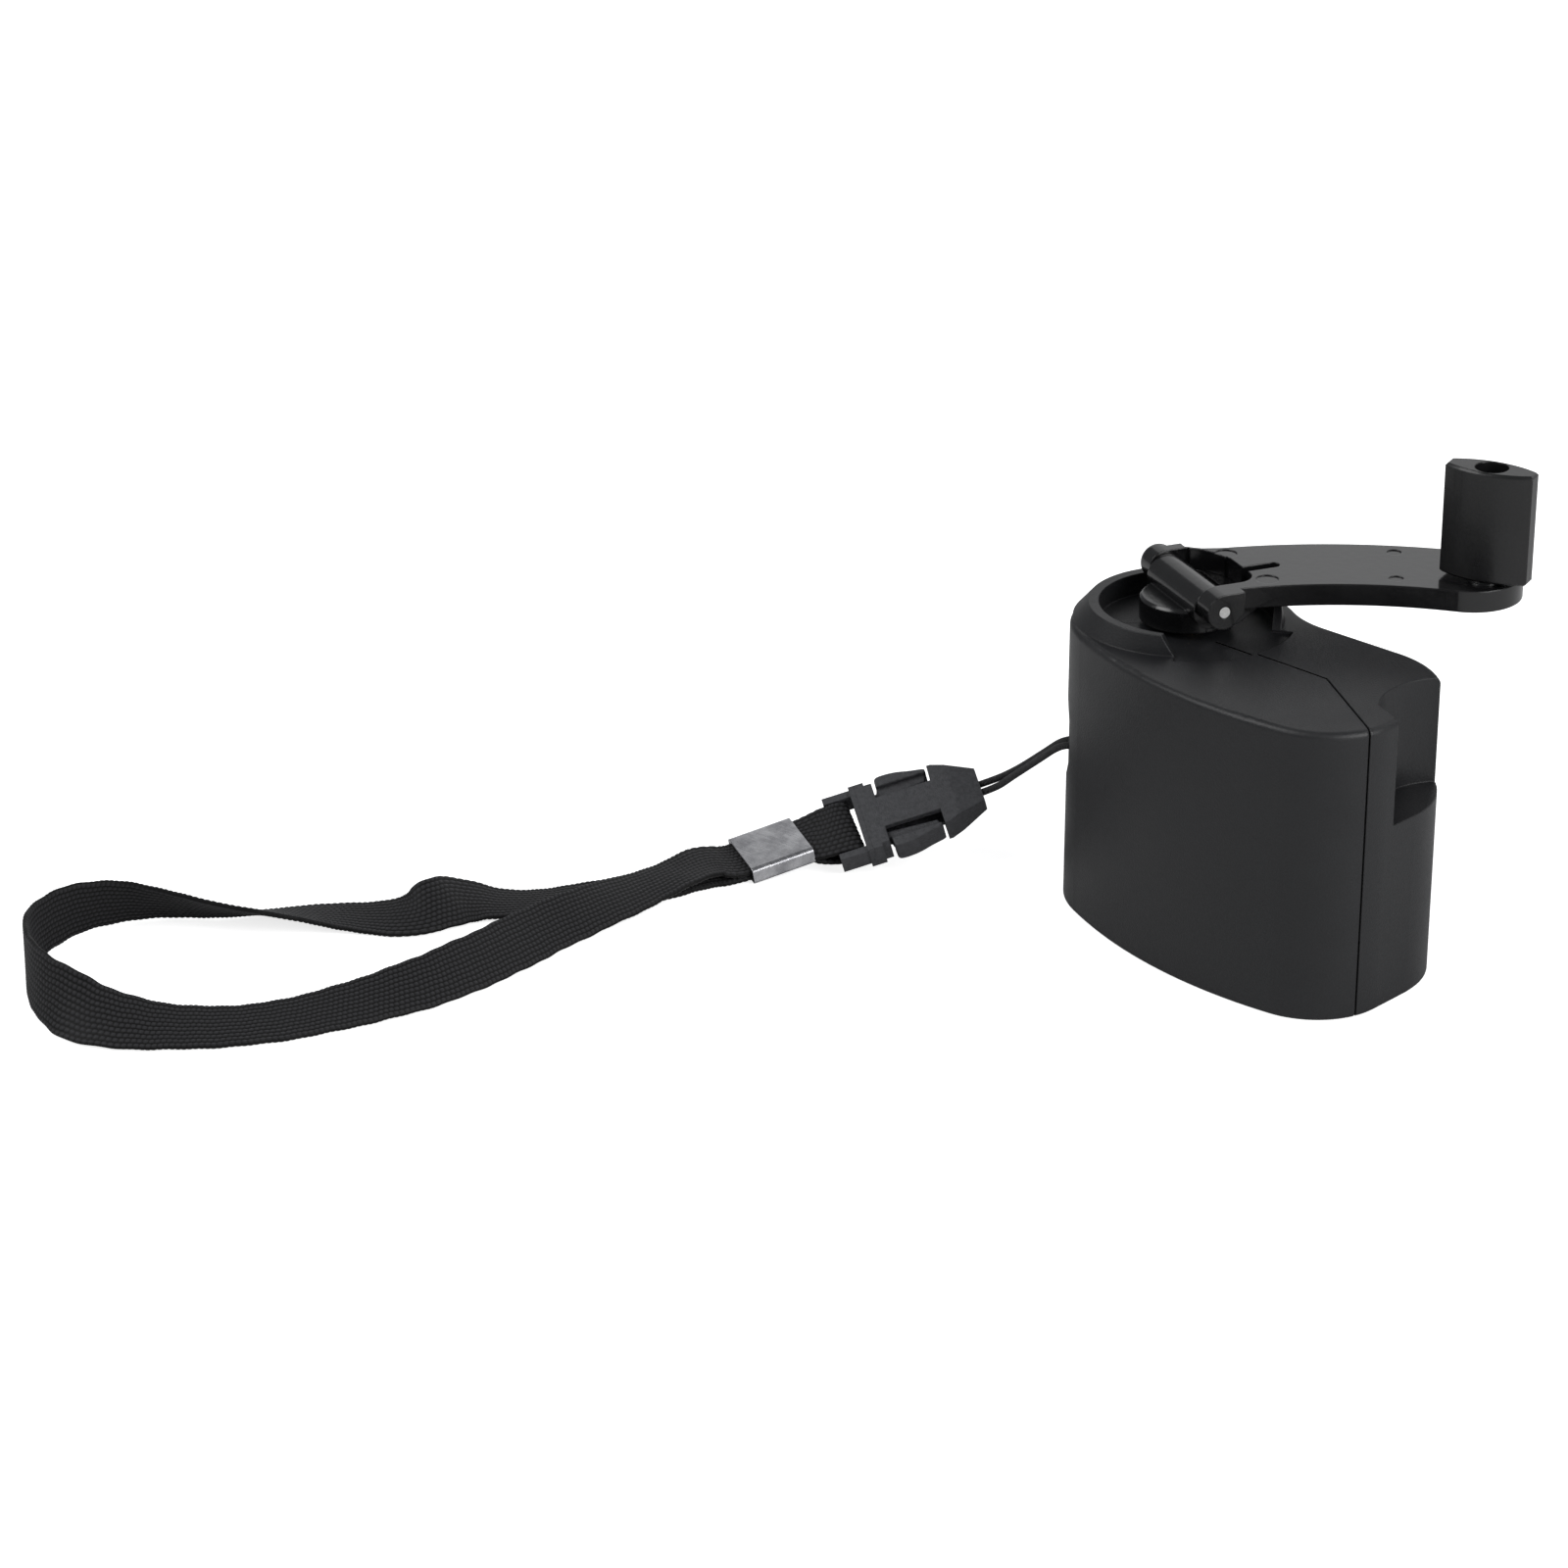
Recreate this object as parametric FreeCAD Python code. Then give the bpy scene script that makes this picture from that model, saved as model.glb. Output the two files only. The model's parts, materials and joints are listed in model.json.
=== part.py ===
"""Hand crank phone charger with a folding crank and a wrist lanyard, in millimetres.

The charger stands on its flat bottom. Z points up along the crank axis, the origin is
where that axis meets the bottom, and X runs from the hub end to the tail of the housing.
"""
import FreeCAD
import Part
import math
import os

Vec = FreeCAD.Vector

# Housing outline: a round hub end, a long belly in front, a waist behind and a tail.
HUB_END_RADIUS = 17.1
BELLY_RADIUS = 75.0
TAIL_CORNER_RADIUS = 12.0
TAIL_CENTRE_X = 33.8
TAIL_FRONT_Y = -10.0
REAR_CORNER_RADIUS = 15.2
REAR_CORNER_Y = -2.9
WAIST_RADIUS = 14.0
BODY_HEIGHT = 45.0
WALL = 2.0
TOP_EDGE_RADIUS = 1.0
BOTTOM_EDGE = 0.4

# Guard rim round the hub, open towards the tail.
RIM_BORE_RADIUS = 12.96
RIM_HEIGHT = 2.9
RIM_TOP_RADIUS = 14.3
RIM_FOOT_RADIUS = 15.7
RIM_FOOT_SHIFT = Vec(-1.6, 0.3, 0)
RIM_TOP_SHIFT = Vec(-0.3, 0, 0)
RIM_GAP_FOOT = (-57.0, 27.0)
RIM_GAP_TOP = (-65.0, 36.0)
RECESS_RADIUS = 16.2
RECESS_DEPTH = 0.4

# Pocket in the tail that takes the knob when the crank is folded.
POCKET_CENTRE = (49.6, 1.3)
POCKET_RADIUS = 11.6
POCKET_FLOOR = 28.6
POCKET_WALL_ANGLE = -22.6
POCKET_START_ANGLE = 218.9

# Parting line of the two shells, from the tail to the hub end.
SEAM_KINK = (29.1, -3.3)
SEAM_BEND = (8.0, -2.8)
SEAM_AXIS_OFFSET = -0.6
SEAM_TAIL_ANGLE = -19.0
SEAM_HUB_ANGLE = 223.0
SEAM_GROOVE_WIDTH = 0.3
SEAM_GROOVE_DEPTH = 0.5
SEAM_GROOVE_START = 8.5

# Dish with a post for the lanyard cord, in the hub end.
DISH_ANGLE = 212.0
DISH_HEIGHT = 26.2
DISH_MOUTH_RADIUS = 7.0
DISH_DEPTH = 4.0
DISH_WALL = 1.2
POST_RADIUS = 1.0
POST_GAP = 0.1

# Crank hub, hinge and arm.
PIN_RISE = 5.8
PIN_HEIGHT = BODY_HEIGHT + PIN_RISE
PIN_ANGLE = 66.0
PIN_RADIUS = 0.85
PIN_CLEARANCE = 0.05
EAR_RADIUS = 2.7
EAR_CAP_RADIUS = 1.4
NEAR_EAR_OUTER = -12.4
NEAR_EAR_INNER = -8.6
FAR_EAR_INNER = 7.1
FAR_EAR_OUTER = 11.2
FAR_WEB_END = 8.9
BARREL_RADIUS = 3.1
BARREL_DROP = 0.9
EAR_GAP = 0.1
HUB_RADIUS = 6.95
HUB_TOP_DROP = 1.6
HUB_TOP_EDGE = 0.4
HUB_FLOOR_GAP = 1.0
REST_WIDTH = 11.0
REST_INNER = 5.0
REST_OUTER = 10.5
REST_GAP = 0.05
ARM_UNDERSIDE = -0.6
ARM_BEND_RADIUS = 67.9
ARM_BEND_CENTRE = (-5.5, -2.0 - ARM_BEND_RADIUS)
ARM_WIDTH = 16.2
ARM_TAIL_ANGLE = 50.8
WINDOW_END = 7.4
WINDOW_CORNER_RADIUS = 3.0
HUB_SWEEP_GAP = 0.35
WINDOW_FILL_V = 1.8
SLOT_END = 13.0
SLOT_WIDTH = 2.0
SLOT_V = -4.1
EJECTOR_DEPTH = 0.15
EJECTOR_MARKS = ((7.6, 2.6, 1.7), (8.6, -8.9, 1.7), (31.0, -6.3, 1.1), (26.2, -15.8, 1.1))

# Knob and its screw.
KNOB_CENTRE = (38.05, -21.05)
KNOB_ANGLE = -50.0
KNOB_LENGTH = 13.4
KNOB_WIDTH = 5.8
KNOB_END_FLAT = 2.4
KNOB_HEIGHT = 17.0
KNOB_BOSS_HEIGHT = 0.45
KNOB_BOSS_RADIUS = 2.6
KNOB_END_PLAY = 0.05
KNOB_EDGE = 0.35
KNOB_SOCKET_RADIUS = 2.5
KNOB_SOCKET_DEPTH = 9.0
KNOB_SCREW_RADIUS = 1.2
KNOB_SCREW_HEAD_RADIUS = 2.1
KNOB_SCREW_HEAD_HEIGHT = 1.6
KNOB_SCREW_DEPTH = 2.2
RUNNING_CLEARANCE = 0.05

# Gear train, from the crank up to the motor.
PRESSURE_ANGLE = 25.0
COARSE_MODULE = 0.5
FINE_MODULE = 0.4
DRIVE_TEETH = 52
SECOND_PINION_TEETH = 12
SECOND_WHEEL_TEETH = 40
THIRD_PINION_TEETH = 12
THIRD_WHEEL_TEETH = 36
MOTOR_PINION_TEETH = 10
WHEEL_ADDENDUM = 0.85
DEDENDUM = 1.15
BACKLASH = 0.1
CENTRE_PLAY = 0.08
SECOND_DIRECTION = -25.1
THIRD_DIRECTION = 42.0
MOTOR_DIRECTION = -50.6
UPPER_PLATE_DROP = 5.6
UPPER_PLATE_Z = BODY_HEIGHT - UPPER_PLATE_DROP
PLATE_SPACING = 15.4
LOWER_PLATE_Z = UPPER_PLATE_Z - PLATE_SPACING
DRIVE_Z = (UPPER_PLATE_Z - 3.2, UPPER_PLATE_Z - 0.4)
SECOND_PINION_Z = (UPPER_PLATE_Z - 5.0, UPPER_PLATE_Z - 0.4)
SECOND_WHEEL_Z = (UPPER_PLATE_Z - 8.0, UPPER_PLATE_Z - 5.5)
THIRD_PINION_Z = (UPPER_PLATE_Z - 8.6, UPPER_PLATE_Z - 5.1)
THIRD_WHEEL_Z = (LOWER_PLATE_Z + 3.2, LOWER_PLATE_Z + 5.7)
MOTOR_PINION_Z = (LOWER_PLATE_Z + 2.7, LOWER_PLATE_Z + 6.2)
AXLE_RADIUS = 1.0
GEAR_HUB_RADIUS = 2.0
GEAR_END_PLAY = 0.2

# Crank shaft.
SHAFT_RADIUS = 2.0
SHAFT_TOP = PIN_HEIGHT - 2.6
SHAFT_BOTTOM = LOWER_PLATE_Z - 1.4
CLIP_RADIUS = 3.6
CLIP_THICKNESS = 0.6
BUSHING_RADIUS = 3.4
BUSHING_FLANGE_RADIUS = 5.0
BUSHING_FLANGE = 1.0
BUSHING_PROUD = 0.4

# Gear plates, their spacers and screws.
PLATE_THICKNESS = 1.6
UPPER_PLATE_END = 34.9
PLATE_GAP = 0.2
LEDGE = 1.2
SPACER_RADIUS = 2.0
SPACER_PLACES = ((15.6, 7.4), (32.7, 7.2), (27.5, -14.6))
SMALL_SCREW_RADIUS = 0.8
SMALL_HEAD_RADIUS = 1.5
SMALL_HEAD_HEIGHT = 1.0
SMALL_SCREW_LENGTH = 5.0

# Motor used as the generator.
MOTOR_RADIUS = 12.1
MOTOR_LENGTH = 12.2
MOTOR_CAN_WALL = 0.8
END_CAP_THICKNESS = 1.6
MAGNET_THICKNESS = 2.6
MAGNET_SPAN = 130.0
MAGNET_HEIGHT = 8.0
ROTOR_RADIUS = 8.1
ROTOR_HEIGHT = 5.0
ROTOR_CORE_RADIUS = 2.6
POLE_COUNT = 3
POLE_NECK_WIDTH = 2.2
POLE_SHOE_DEPTH = 1.2
POLE_SHOE_SPAN = 96.0
COIL_THICKNESS = 1.1
MOTOR_SHAFT_RADIUS = 1.0
COMMUTATOR_RADIUS = 1.9
COMMUTATOR_HEIGHT = 1.6
MOTOR_SCREW_OFFSET = 6.0
MOTOR_SCREW_ANGLE = 20.0

# Shell screws, driven in from the rear.
BOSS_RADIUS = 3.3
SHELL_SCREW_PLACES = ((15.4, 5.8), (36.0, 6.0), (13.6, 19.8))
SHELL_SCREW_RADIUS = 1.1
SHELL_SCREW_CLEARANCE = 0.2
SHELL_HEAD_RADIUS = 2.0
SHELL_HEAD_HEIGHT = 1.6
SHELL_HEAD_SUNK = 1.2
SHELL_SCREW_REACH = 7.0

# Circuit board and the parts on it.
BOARD_Z = 5.0
BOARD_THICKNESS = 1.6
BOARD_EDGE_GAP = 0.5
BOARD_END_X = 9.6
BOARD_POST_REACH = 11.2
BOARD_POST_ANGLES = (122.6, -55.8)
BOARD_POST_RADIUS = 2.2
USB_WIDTH = 13.1
USB_HEIGHT = 5.7
USB_LENGTH = 14.0
USB_SET_BACK = 1.6
USB_FACE_X = USB_SET_BACK - HUB_END_RADIUS
USB_SHEET = 0.3
USB_OPENING_GAP = 0.15
TONGUE_WIDTH = 11.1
TONGUE_THICKNESS = 1.84
TONGUE_BLOCK = 3.0
TONGUE_SET_BACK = 1.0
CONTACT_PITCHES = (-3.5, -1.0, 1.0, 3.5)
CONTACT_WIDTH = 1.0
CONTACT_THICKNESS = 0.15

# Lanyard. Each piece has a centre line from a start to an end point, and a width direction.
CORD_RADIUS = 0.55
CRIMP_START = Vec(-53.2, -39.95, 1.75)
CRIMP_END = Vec(-48.84, -31.05, 3.85)
CRIMP_ACROSS = Vec(-0.834, 0.543, 0.103)
CRIMP_WIDTH = 11.0
CRIMP_WALL = 0.45
BUCKLE_START = Vec(-44.9, -28.35, 4.9)
BUCKLE_END = Vec(-30.6, -10.5, 11.5)
BUCKLE_ACROSS = Vec(-0.755, 0.471, 0.455)
WEB_WIDTH = 9.5
WEB_THICKNESS = 0.9
BUCKLE_THICKNESS = 4.4
FRAME_THICKNESS = 3.2
FRAME_HALF_WIDTH = 6.1
FRAME_RAIL = 1.2
FRAME_END = 4.4
BAR_START = 1.3
BAR_WIDTH = 1.2
BAR_THICKNESS = 1.6
CROSS_PLATE = 0.9
PLATE_HALF_WIDTH = 6.3
SOCKET_START = FRAME_END + CROSS_PLATE
FLANGE_THICKNESS = 1.5
SOCKET_HALF_WIDTH = 5.7
SOCKET_TAPER_START = 17.5
SOCKET_TIP_HALF_WIDTH = 3.2
SOCKET_TIP_BEVEL = 1.0
SOCKET_SKIN = 0.9
SOCKET_BORE_END = 17.5
SPINE_HALF_WIDTH = 2.85
WINDOW_RANGE = (8.0, 16.9)
PRONG_INNER = 2.7
PRONG_OUTER = 4.5
PRONG_PAD_OUTER = 6.7
PRONG_ROOT_GAP = 0.15
PRONG_END = 16.2
PRONG_THICKNESS = 2.2
PAD_INNER = 4.2
PAD_END_GAP = 0.5
PRONG_BORE_GAP = 0.2
PAD_THICKNESS = 3.8
GUIDE_HALF_WIDTH = 0.9
GUIDE_END = 13.0
CORD_HOLE_DEPTH = 2.5
CORD_SPACING = 0.8
STRAP_REST = 0.05
CRIMP_LEAD = 1.6
STRAP_ROUTE = (
    (-55.4, -44.6, 6, 0), (-57.0, -50.5, 8, 0), (-57.6, -58.1, 12, 0), (-57.0, -68.5, 18, 0),
    (-56.3, -79.1, 23, 0), (-55.6, -90.0, 26, 0), (-56.0, -101.5, 24, 0), (-59.8, -114.7, 13, 0),
    (-65.1, -128.5, 11, 0), (-74.9, -138.9, 16, 0), (-83.8, -143.4, 26, 0), (-92.5, -143.2, 48, 0),
    (-101.5, -139.3, 74, 0), (-109.0, -132.6, 90, 0), (-112.4, -124.0, 90, 0), (-109.6, -116.4, 84, 0),
    (-100.5, -110.2, 62, 0), (-91.0, -103.6, 30, 0), (-83.9, -94.8, 6, 0), (-76.4, -88.9, -10, 0),
    (-72.8, -83.4, -23, 0), (-68.3, -75.9, 8, 0.4), (-62.6, -68.6, 4, 1.6), (-57.6, -58.6, 2, 2.4),
    (-54.6, -49.5, 0, 2.6))
ARC_SHARE = 0.45


# ---------------------------------------------------------------- small helpers

def polar(radius, degrees, centre=(0.0, 0.0), z=0.0):
    angle = math.radians(degrees)
    return Vec(centre[0] + radius * math.cos(angle), centre[1] + radius * math.sin(angle), z)


def box(x0, x1, y0, y1, z0, z1):
    return Part.makeBox(x1 - x0, y1 - y0, z1 - z0, Vec(x0, y0, z0))


def rod(x, y, radius, z0, z1):
    return Part.makeCylinder(radius, z1 - z0, Vec(x, y, z0))


def ring(x, y, outer, inner, z0, z1):
    return rod(x, y, outer, z0, z1).cut(rod(x, y, inner, z0, z1))


def arc(centre, radius, start, end, z=0.0):
    """Arc edge round centre from one angle to another, in degrees."""
    points = [polar(radius, a, centre, z) for a in (start, (start + end) / 2.0, end)]
    return Part.Arc(*points).toShape()


def line(a, b):
    return Part.LineSegment(a, b).toShape()


def polygon(points, z=0.0):
    corners = [Vec(p[0], p[1], z) for p in points]
    return Part.Wire(Part.makePolygon(corners + corners[:1]).Edges)


def prism(points, z0, z1):
    return Part.Face(polygon(points, z0)).extrude(Vec(0, 0, z1 - z0))


def fuse(shapes):
    result = shapes[0]
    if len(shapes) > 1:
        result = shapes[0].fuse(shapes[1:])
    return result.removeSplitter()


def circles_meet(centre_a, radius_a, centre_b, radius_b):
    """The crossing of two circles that lies on the +Y side."""
    dx = centre_b[0] - centre_a[0]
    dy = centre_b[1] - centre_a[1]
    gap = math.hypot(dx, dy)
    along = (radius_a ** 2 - radius_b ** 2 + gap ** 2) / (2 * gap)
    off = math.sqrt(radius_a ** 2 - along ** 2)
    return (centre_a[0] + (dx * along - dy * off) / gap, centre_a[1] + (dy * along + dx * off) / gap)


def heading(start, end):
    return math.degrees(math.atan2(end[1] - start[1], end[0] - start[0]))


# ---------------------------------------------------------------- housing

def rear_corner_x():
    return TAIL_CENTRE_X + TAIL_CORNER_RADIUS - REAR_CORNER_RADIUS


def waist_centre():
    y = REAR_CORNER_Y + REAR_CORNER_RADIUS + WAIST_RADIUS
    return math.sqrt((HUB_END_RADIUS + WAIST_RADIUS) ** 2 - y ** 2), y


def outline_face(inset=0.0, z=0.0):
    """Plan of the housing, moved inwards by inset. Every stretch is tangent to the next."""
    hub = (0.0, 0.0)
    front = (TAIL_CENTRE_X, TAIL_FRONT_Y)
    rear = (rear_corner_x(), REAR_CORNER_Y)
    belly = circles_meet(hub, BELLY_RADIUS - HUB_END_RADIUS, front, BELLY_RADIUS - TAIL_CORNER_RADIUS)
    waist = waist_centre()
    hub_radius = HUB_END_RADIUS - inset
    corner = TAIL_CORNER_RADIUS - inset
    rear_radius = REAR_CORNER_RADIUS - inset
    belly_start = heading(belly, hub)
    belly_end = heading(belly, front)
    waist_angle = heading(hub, waist)
    edges = [
        arc(belly, BELLY_RADIUS - inset, belly_start, belly_end, z),
        arc(front, corner, belly_end, 0.0, z),
        line(polar(corner, 0.0, front, z), polar(rear_radius, 0.0, rear, z)),
        arc(rear, rear_radius, 0.0, 90.0, z),
        line(polar(rear_radius, 90.0, rear, z), polar(WAIST_RADIUS + inset, -90.0, waist, z)),
        arc(waist, WAIST_RADIUS + inset, -90.0, waist_angle - 180.0, z),
        arc(hub, hub_radius, waist_angle, belly_start + 360.0, z)]
    return Part.Face(Part.Wire(edges))


def outline_prism(inset, z0, z1):
    return outline_face(inset, z0).extrude(Vec(0, 0, z1 - z0))


def edges_at(shape, z):
    return [e for e in shape.Edges if abs(e.BoundBox.ZMin - z) < 1e-6 and abs(e.BoundBox.ZMax - z) < 1e-6]


def sector_wedge(foot, top, radius, z0, z1):
    """Wedge about the crank axis whose two side faces lean from the foot to the top angles."""
    def plan(angles, z):
        middle = (angles[0] + angles[1]) / 2.0
        rim = [polar(radius, a, z=z) for a in (angles[0], middle, angles[1])]
        return polygon([(0.0, 0.0)] + [(p.x, p.y) for p in rim], z)
    return Part.makeLoft([plan(foot, z0), plan(top, z1)], True, True)


def rim():
    """Sloped guard round the hub end, before its bore and its gap are cut."""
    foot = Part.Wire(Part.makeCircle(RIM_FOOT_RADIUS, RIM_FOOT_SHIFT + Vec(0, 0, BODY_HEIGHT)))
    top = Part.Wire(Part.makeCircle(RIM_TOP_RADIUS, RIM_TOP_SHIFT + Vec(0, 0, BODY_HEIGHT + RIM_HEIGHT)))
    slope = Part.makeLoft([foot, top], True, True)
    skirt = rod(RIM_FOOT_SHIFT.x, RIM_FOOT_SHIFT.y, RIM_FOOT_RADIUS, BODY_HEIGHT - WALL, BODY_HEIGHT)
    inside = outline_prism(0.0, BODY_HEIGHT - WALL, BODY_HEIGHT + RIM_HEIGHT)
    return slope.fuse(skirt).common(inside)


def hub_recess():
    """What is cut round the hub: the rim's bore, its gap and the shallow floor of both."""
    floor = BODY_HEIGHT - RECESS_DEPTH
    above = BODY_HEIGHT + RIM_HEIGHT + 1.0
    bore = rod(0, 0, RIM_BORE_RADIUS, floor, above)
    reach = 2 * HUB_END_RADIUS
    gap = sector_wedge(RIM_GAP_FOOT, RIM_GAP_TOP, reach, BODY_HEIGHT, BODY_HEIGHT + RIM_HEIGHT)
    wider = sector_wedge(RIM_GAP_FOOT, RIM_GAP_FOOT, reach, floor, BODY_HEIGHT)
    floor_cut = rod(0, 0, RECESS_RADIUS, floor, BODY_HEIGHT).common(wider)
    return [bore, gap, floor_cut]


def pocket_face(offset, z):
    """Plan of the knob pocket, moved outwards by offset, open past the tail."""
    angle = math.radians(POCKET_WALL_ANGLE)
    normal = Vec(math.sin(angle), -math.cos(angle), 0)
    radius = POCKET_RADIUS + offset
    corner = polar(POCKET_RADIUS, POCKET_START_ANGLE, POCKET_CENTRE)
    run = Vec(math.cos(angle), math.sin(angle), 0)
    near = corner + normal * offset
    start = heading(POCKET_CENTRE, near) + 360.0
    entry = polar(radius, start, POCKET_CENTRE, z)
    far_end = polar(radius, 100.0, POCKET_CENTRE, z)
    out_near = entry + run * (2 * radius)
    out_far = Vec(out_near.x, far_end.y, z)
    edges = [arc(POCKET_CENTRE, radius, 100.0, start, z), line(entry, out_near),
             line(out_near, out_far), line(out_far, far_end)]
    return Part.Face(Part.Wire(edges))


def dish_sphere(extra):
    """Ball whose outside cuts the dish in the hub end."""
    radius = (DISH_MOUTH_RADIUS ** 2 + DISH_DEPTH ** 2) / (2 * DISH_DEPTH)
    centre = polar(HUB_END_RADIUS - DISH_DEPTH + radius, DISH_ANGLE, z=DISH_HEIGHT)
    return Part.makeSphere(radius + extra, centre)


def post_centre():
    return polar(HUB_END_RADIUS - POST_RADIUS - POST_GAP, DISH_ANGLE)


def cavity():
    """Room inside the housing, with the ledge that the lower gear plate rests on."""
    above = BODY_HEIGHT - WALL
    room = outline_prism(WALL + LEDGE, WALL, LOWER_PLATE_Z).fuse(outline_prism(WALL, LOWER_PLATE_Z, above))
    pocket = pocket_face(WALL, POCKET_FLOOR - WALL).extrude(Vec(0, 0, BODY_HEIGHT))
    return room.cut([pocket, dish_sphere(DISH_WALL)])


def rear_y(x):
    """Y of the housing's rear face at x, between the waist and the tail corner."""
    waist_x, waist_y = waist_centre()
    if x < waist_x:
        return waist_y - math.sqrt(WAIST_RADIUS ** 2 - (waist_x - x) ** 2)
    if x > rear_corner_x():
        return REAR_CORNER_Y + math.sqrt(REAR_CORNER_RADIUS ** 2 - (x - rear_corner_x()) ** 2)
    return waist_y - WAIST_RADIUS


def rod_along_y(x, z, radius, y0, y1):
    return Part.makeCylinder(radius, y1 - y0, Vec(x, y0, z), Vec(0, 1, 0))


def screw_bosses():
    """Round bosses from wall to wall; the seam later parts each into two."""
    inside = outline_prism(WALL / 2.0, WALL / 2.0, BODY_HEIGHT - WALL)
    reach = BELLY_RADIUS
    bosses = [rod_along_y(x, z, BOSS_RADIUS, -reach, reach) for x, z in SHELL_SCREW_PLACES]
    return [b.common(inside) for b in bosses]


def head_seat(x):
    return rear_y(x) - SHELL_HEAD_SUNK - SHELL_HEAD_HEIGHT


def seam_y(x):
    """Y of the parting line at x, between the kink and the bend, and beyond the kink."""
    if x <= SEAM_KINK[0]:
        share = (x - SEAM_BEND[0]) / (SEAM_KINK[0] - SEAM_BEND[0])
        return SEAM_BEND[1] + share * (SEAM_KINK[1] - SEAM_BEND[1])
    tail = seam_points()[0]
    share = (x - SEAM_KINK[0]) / (tail[0] - SEAM_KINK[0])
    return SEAM_KINK[1] + share * (tail[1] - SEAM_KINK[1])


def screw_holes():
    cuts = []
    for x, z in SHELL_SCREW_PLACES:
        seat = head_seat(x)
        tip = seam_y(x) - SHELL_SCREW_REACH
        cuts.append(rod_along_y(x, z, SHELL_SCREW_RADIUS, tip, seam_y(x) + 1.0))
        cuts.append(rod_along_y(x, z, SHELL_SCREW_RADIUS + SHELL_SCREW_CLEARANCE, seam_y(x), seat + 1.0))
        cuts.append(rod_along_y(x, z, SHELL_HEAD_RADIUS + SHELL_SCREW_CLEARANCE, seat, seat + WAIST_RADIUS))
    return cuts


def board_post_places():
    """Posts kept a head's width inside the inner wall of the hub end."""
    room = HUB_END_RADIUS - WALL - LEDGE - BOARD_EDGE_GAP - SMALL_HEAD_RADIUS
    return [polar(min(BOARD_POST_REACH, room), a) for a in BOARD_POST_ANGLES]


def board_posts():
    return [rod(p.x, p.y, BOARD_POST_RADIUS, WALL / 2.0, BOARD_Z) for p in board_post_places()]


def usb_window():
    half = USB_WIDTH / 2.0 + USB_OPENING_GAP
    foot = BOARD_Z + BOARD_THICKNESS - USB_OPENING_GAP
    top = BOARD_Z + BOARD_THICKNESS + USB_HEIGHT + USB_OPENING_GAP
    return box(-2 * HUB_END_RADIUS, 0, -half, half, foot, top).cut(outline_prism(WALL + LEDGE, 0, BODY_HEIGHT))


def seam_points():
    tail = polar(TAIL_CORNER_RADIUS, SEAM_TAIL_ANGLE, (TAIL_CENTRE_X, TAIL_FRONT_Y))
    slope = (tail.y - SEAM_KINK[1]) / (tail.x - SEAM_KINK[0])
    outside = (tail.x + TAIL_CORNER_RADIUS, tail.y + slope * TAIL_CORNER_RADIUS)
    hub_end = polar(2 * HUB_END_RADIUS, SEAM_HUB_ANGLE)
    return [outside, SEAM_KINK, SEAM_BEND, (0.0, SEAM_AXIS_OFFSET), (hub_end.x, hub_end.y + SEAM_AXIS_OFFSET)]


def front_region():
    """Everything on the belly side of the parting line."""
    points = seam_points()
    far = -2 * BELLY_RADIUS
    return prism(points + [(points[-1][0], far), (points[0][0], far)], -1.0, BODY_HEIGHT + RIM_HEIGHT + 1.0)


def seam_groove():
    """Thin groove along the parting line, round the outside and over the recess in the rim's gap."""
    top = BODY_HEIGHT + 1.0
    recess = BODY_HEIGHT - RECESS_DEPTH
    half = SEAM_GROOVE_WIDTH / 2.0
    walls = []
    points = seam_points()
    for start, end in zip(points, points[1:]):
        length = math.hypot(end[0] - start[0], end[1] - start[1])
        wall = box(0, length, -half, half, -1.0, top)
        wall.rotate(Vec(0, 0, 0), Vec(0, 0, 1), heading(start, end))
        wall.translate(Vec(start[0], start[1], 0))
        walls.append(wall)
    depth = SEAM_GROOVE_DEPTH
    core = outline_prism(depth, depth, BODY_HEIGHT - depth)
    core = core.cut(rod(0, 0, RECESS_RADIUS, recess - depth, BODY_HEIGHT))
    under_rim = rod(0, 0, HUB_END_RADIUS + 1.0, BODY_HEIGHT - WALL, top)
    open_floor = sector_wedge(RIM_GAP_FOOT, RIM_GAP_FOOT, 2 * HUB_END_RADIUS, BODY_HEIGHT - WALL, top)
    hub_zone = rod(0, 0, SEAM_GROOVE_START, BODY_HEIGHT - WALL, top)
    return fuse(walls).cut([core, under_rim.cut(open_floor), hub_zone])


def lanyard_post():
    centre = post_centre()
    reach = DISH_MOUTH_RADIUS + DISH_WALL
    post = rod(centre.x, centre.y, POST_RADIUS, DISH_HEIGHT - reach, DISH_HEIGHT + reach)
    return post.common(outline_prism(POST_GAP / 2.0, 0, BODY_HEIGHT))


def bushing_seat():
    return rod(0, 0, BUSHING_RADIUS, BODY_HEIGHT - 2 * WALL, BODY_HEIGHT + 1.0)


def housing():
    """Both shells in one piece, before the parting line splits them."""
    block = outline_prism(0.0, 0.0, BODY_HEIGHT)
    block = block.makeFillet(TOP_EDGE_RADIUS, edges_at(block, BODY_HEIGHT))
    block = block.makeChamfer(BOTTOM_EDGE, edges_at(block, 0.0))
    pocket = pocket_face(0.0, POCKET_FLOOR).extrude(Vec(0, 0, BODY_HEIGHT))
    shape = block.fuse(rim()).cut(hub_recess() + [pocket, dish_sphere(0.0)])
    inner = cavity().cut(screw_bosses() + board_posts())
    shape = shape.cut(inner).fuse(lanyard_post())
    return shape.cut(screw_holes() + [bushing_seat(), usb_window(), seam_groove()]).removeSplitter()


def shells():
    whole = housing()
    region = front_region()
    return {"front_shell": whole.common(region), "rear_shell": whole.cut(region)}


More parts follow.
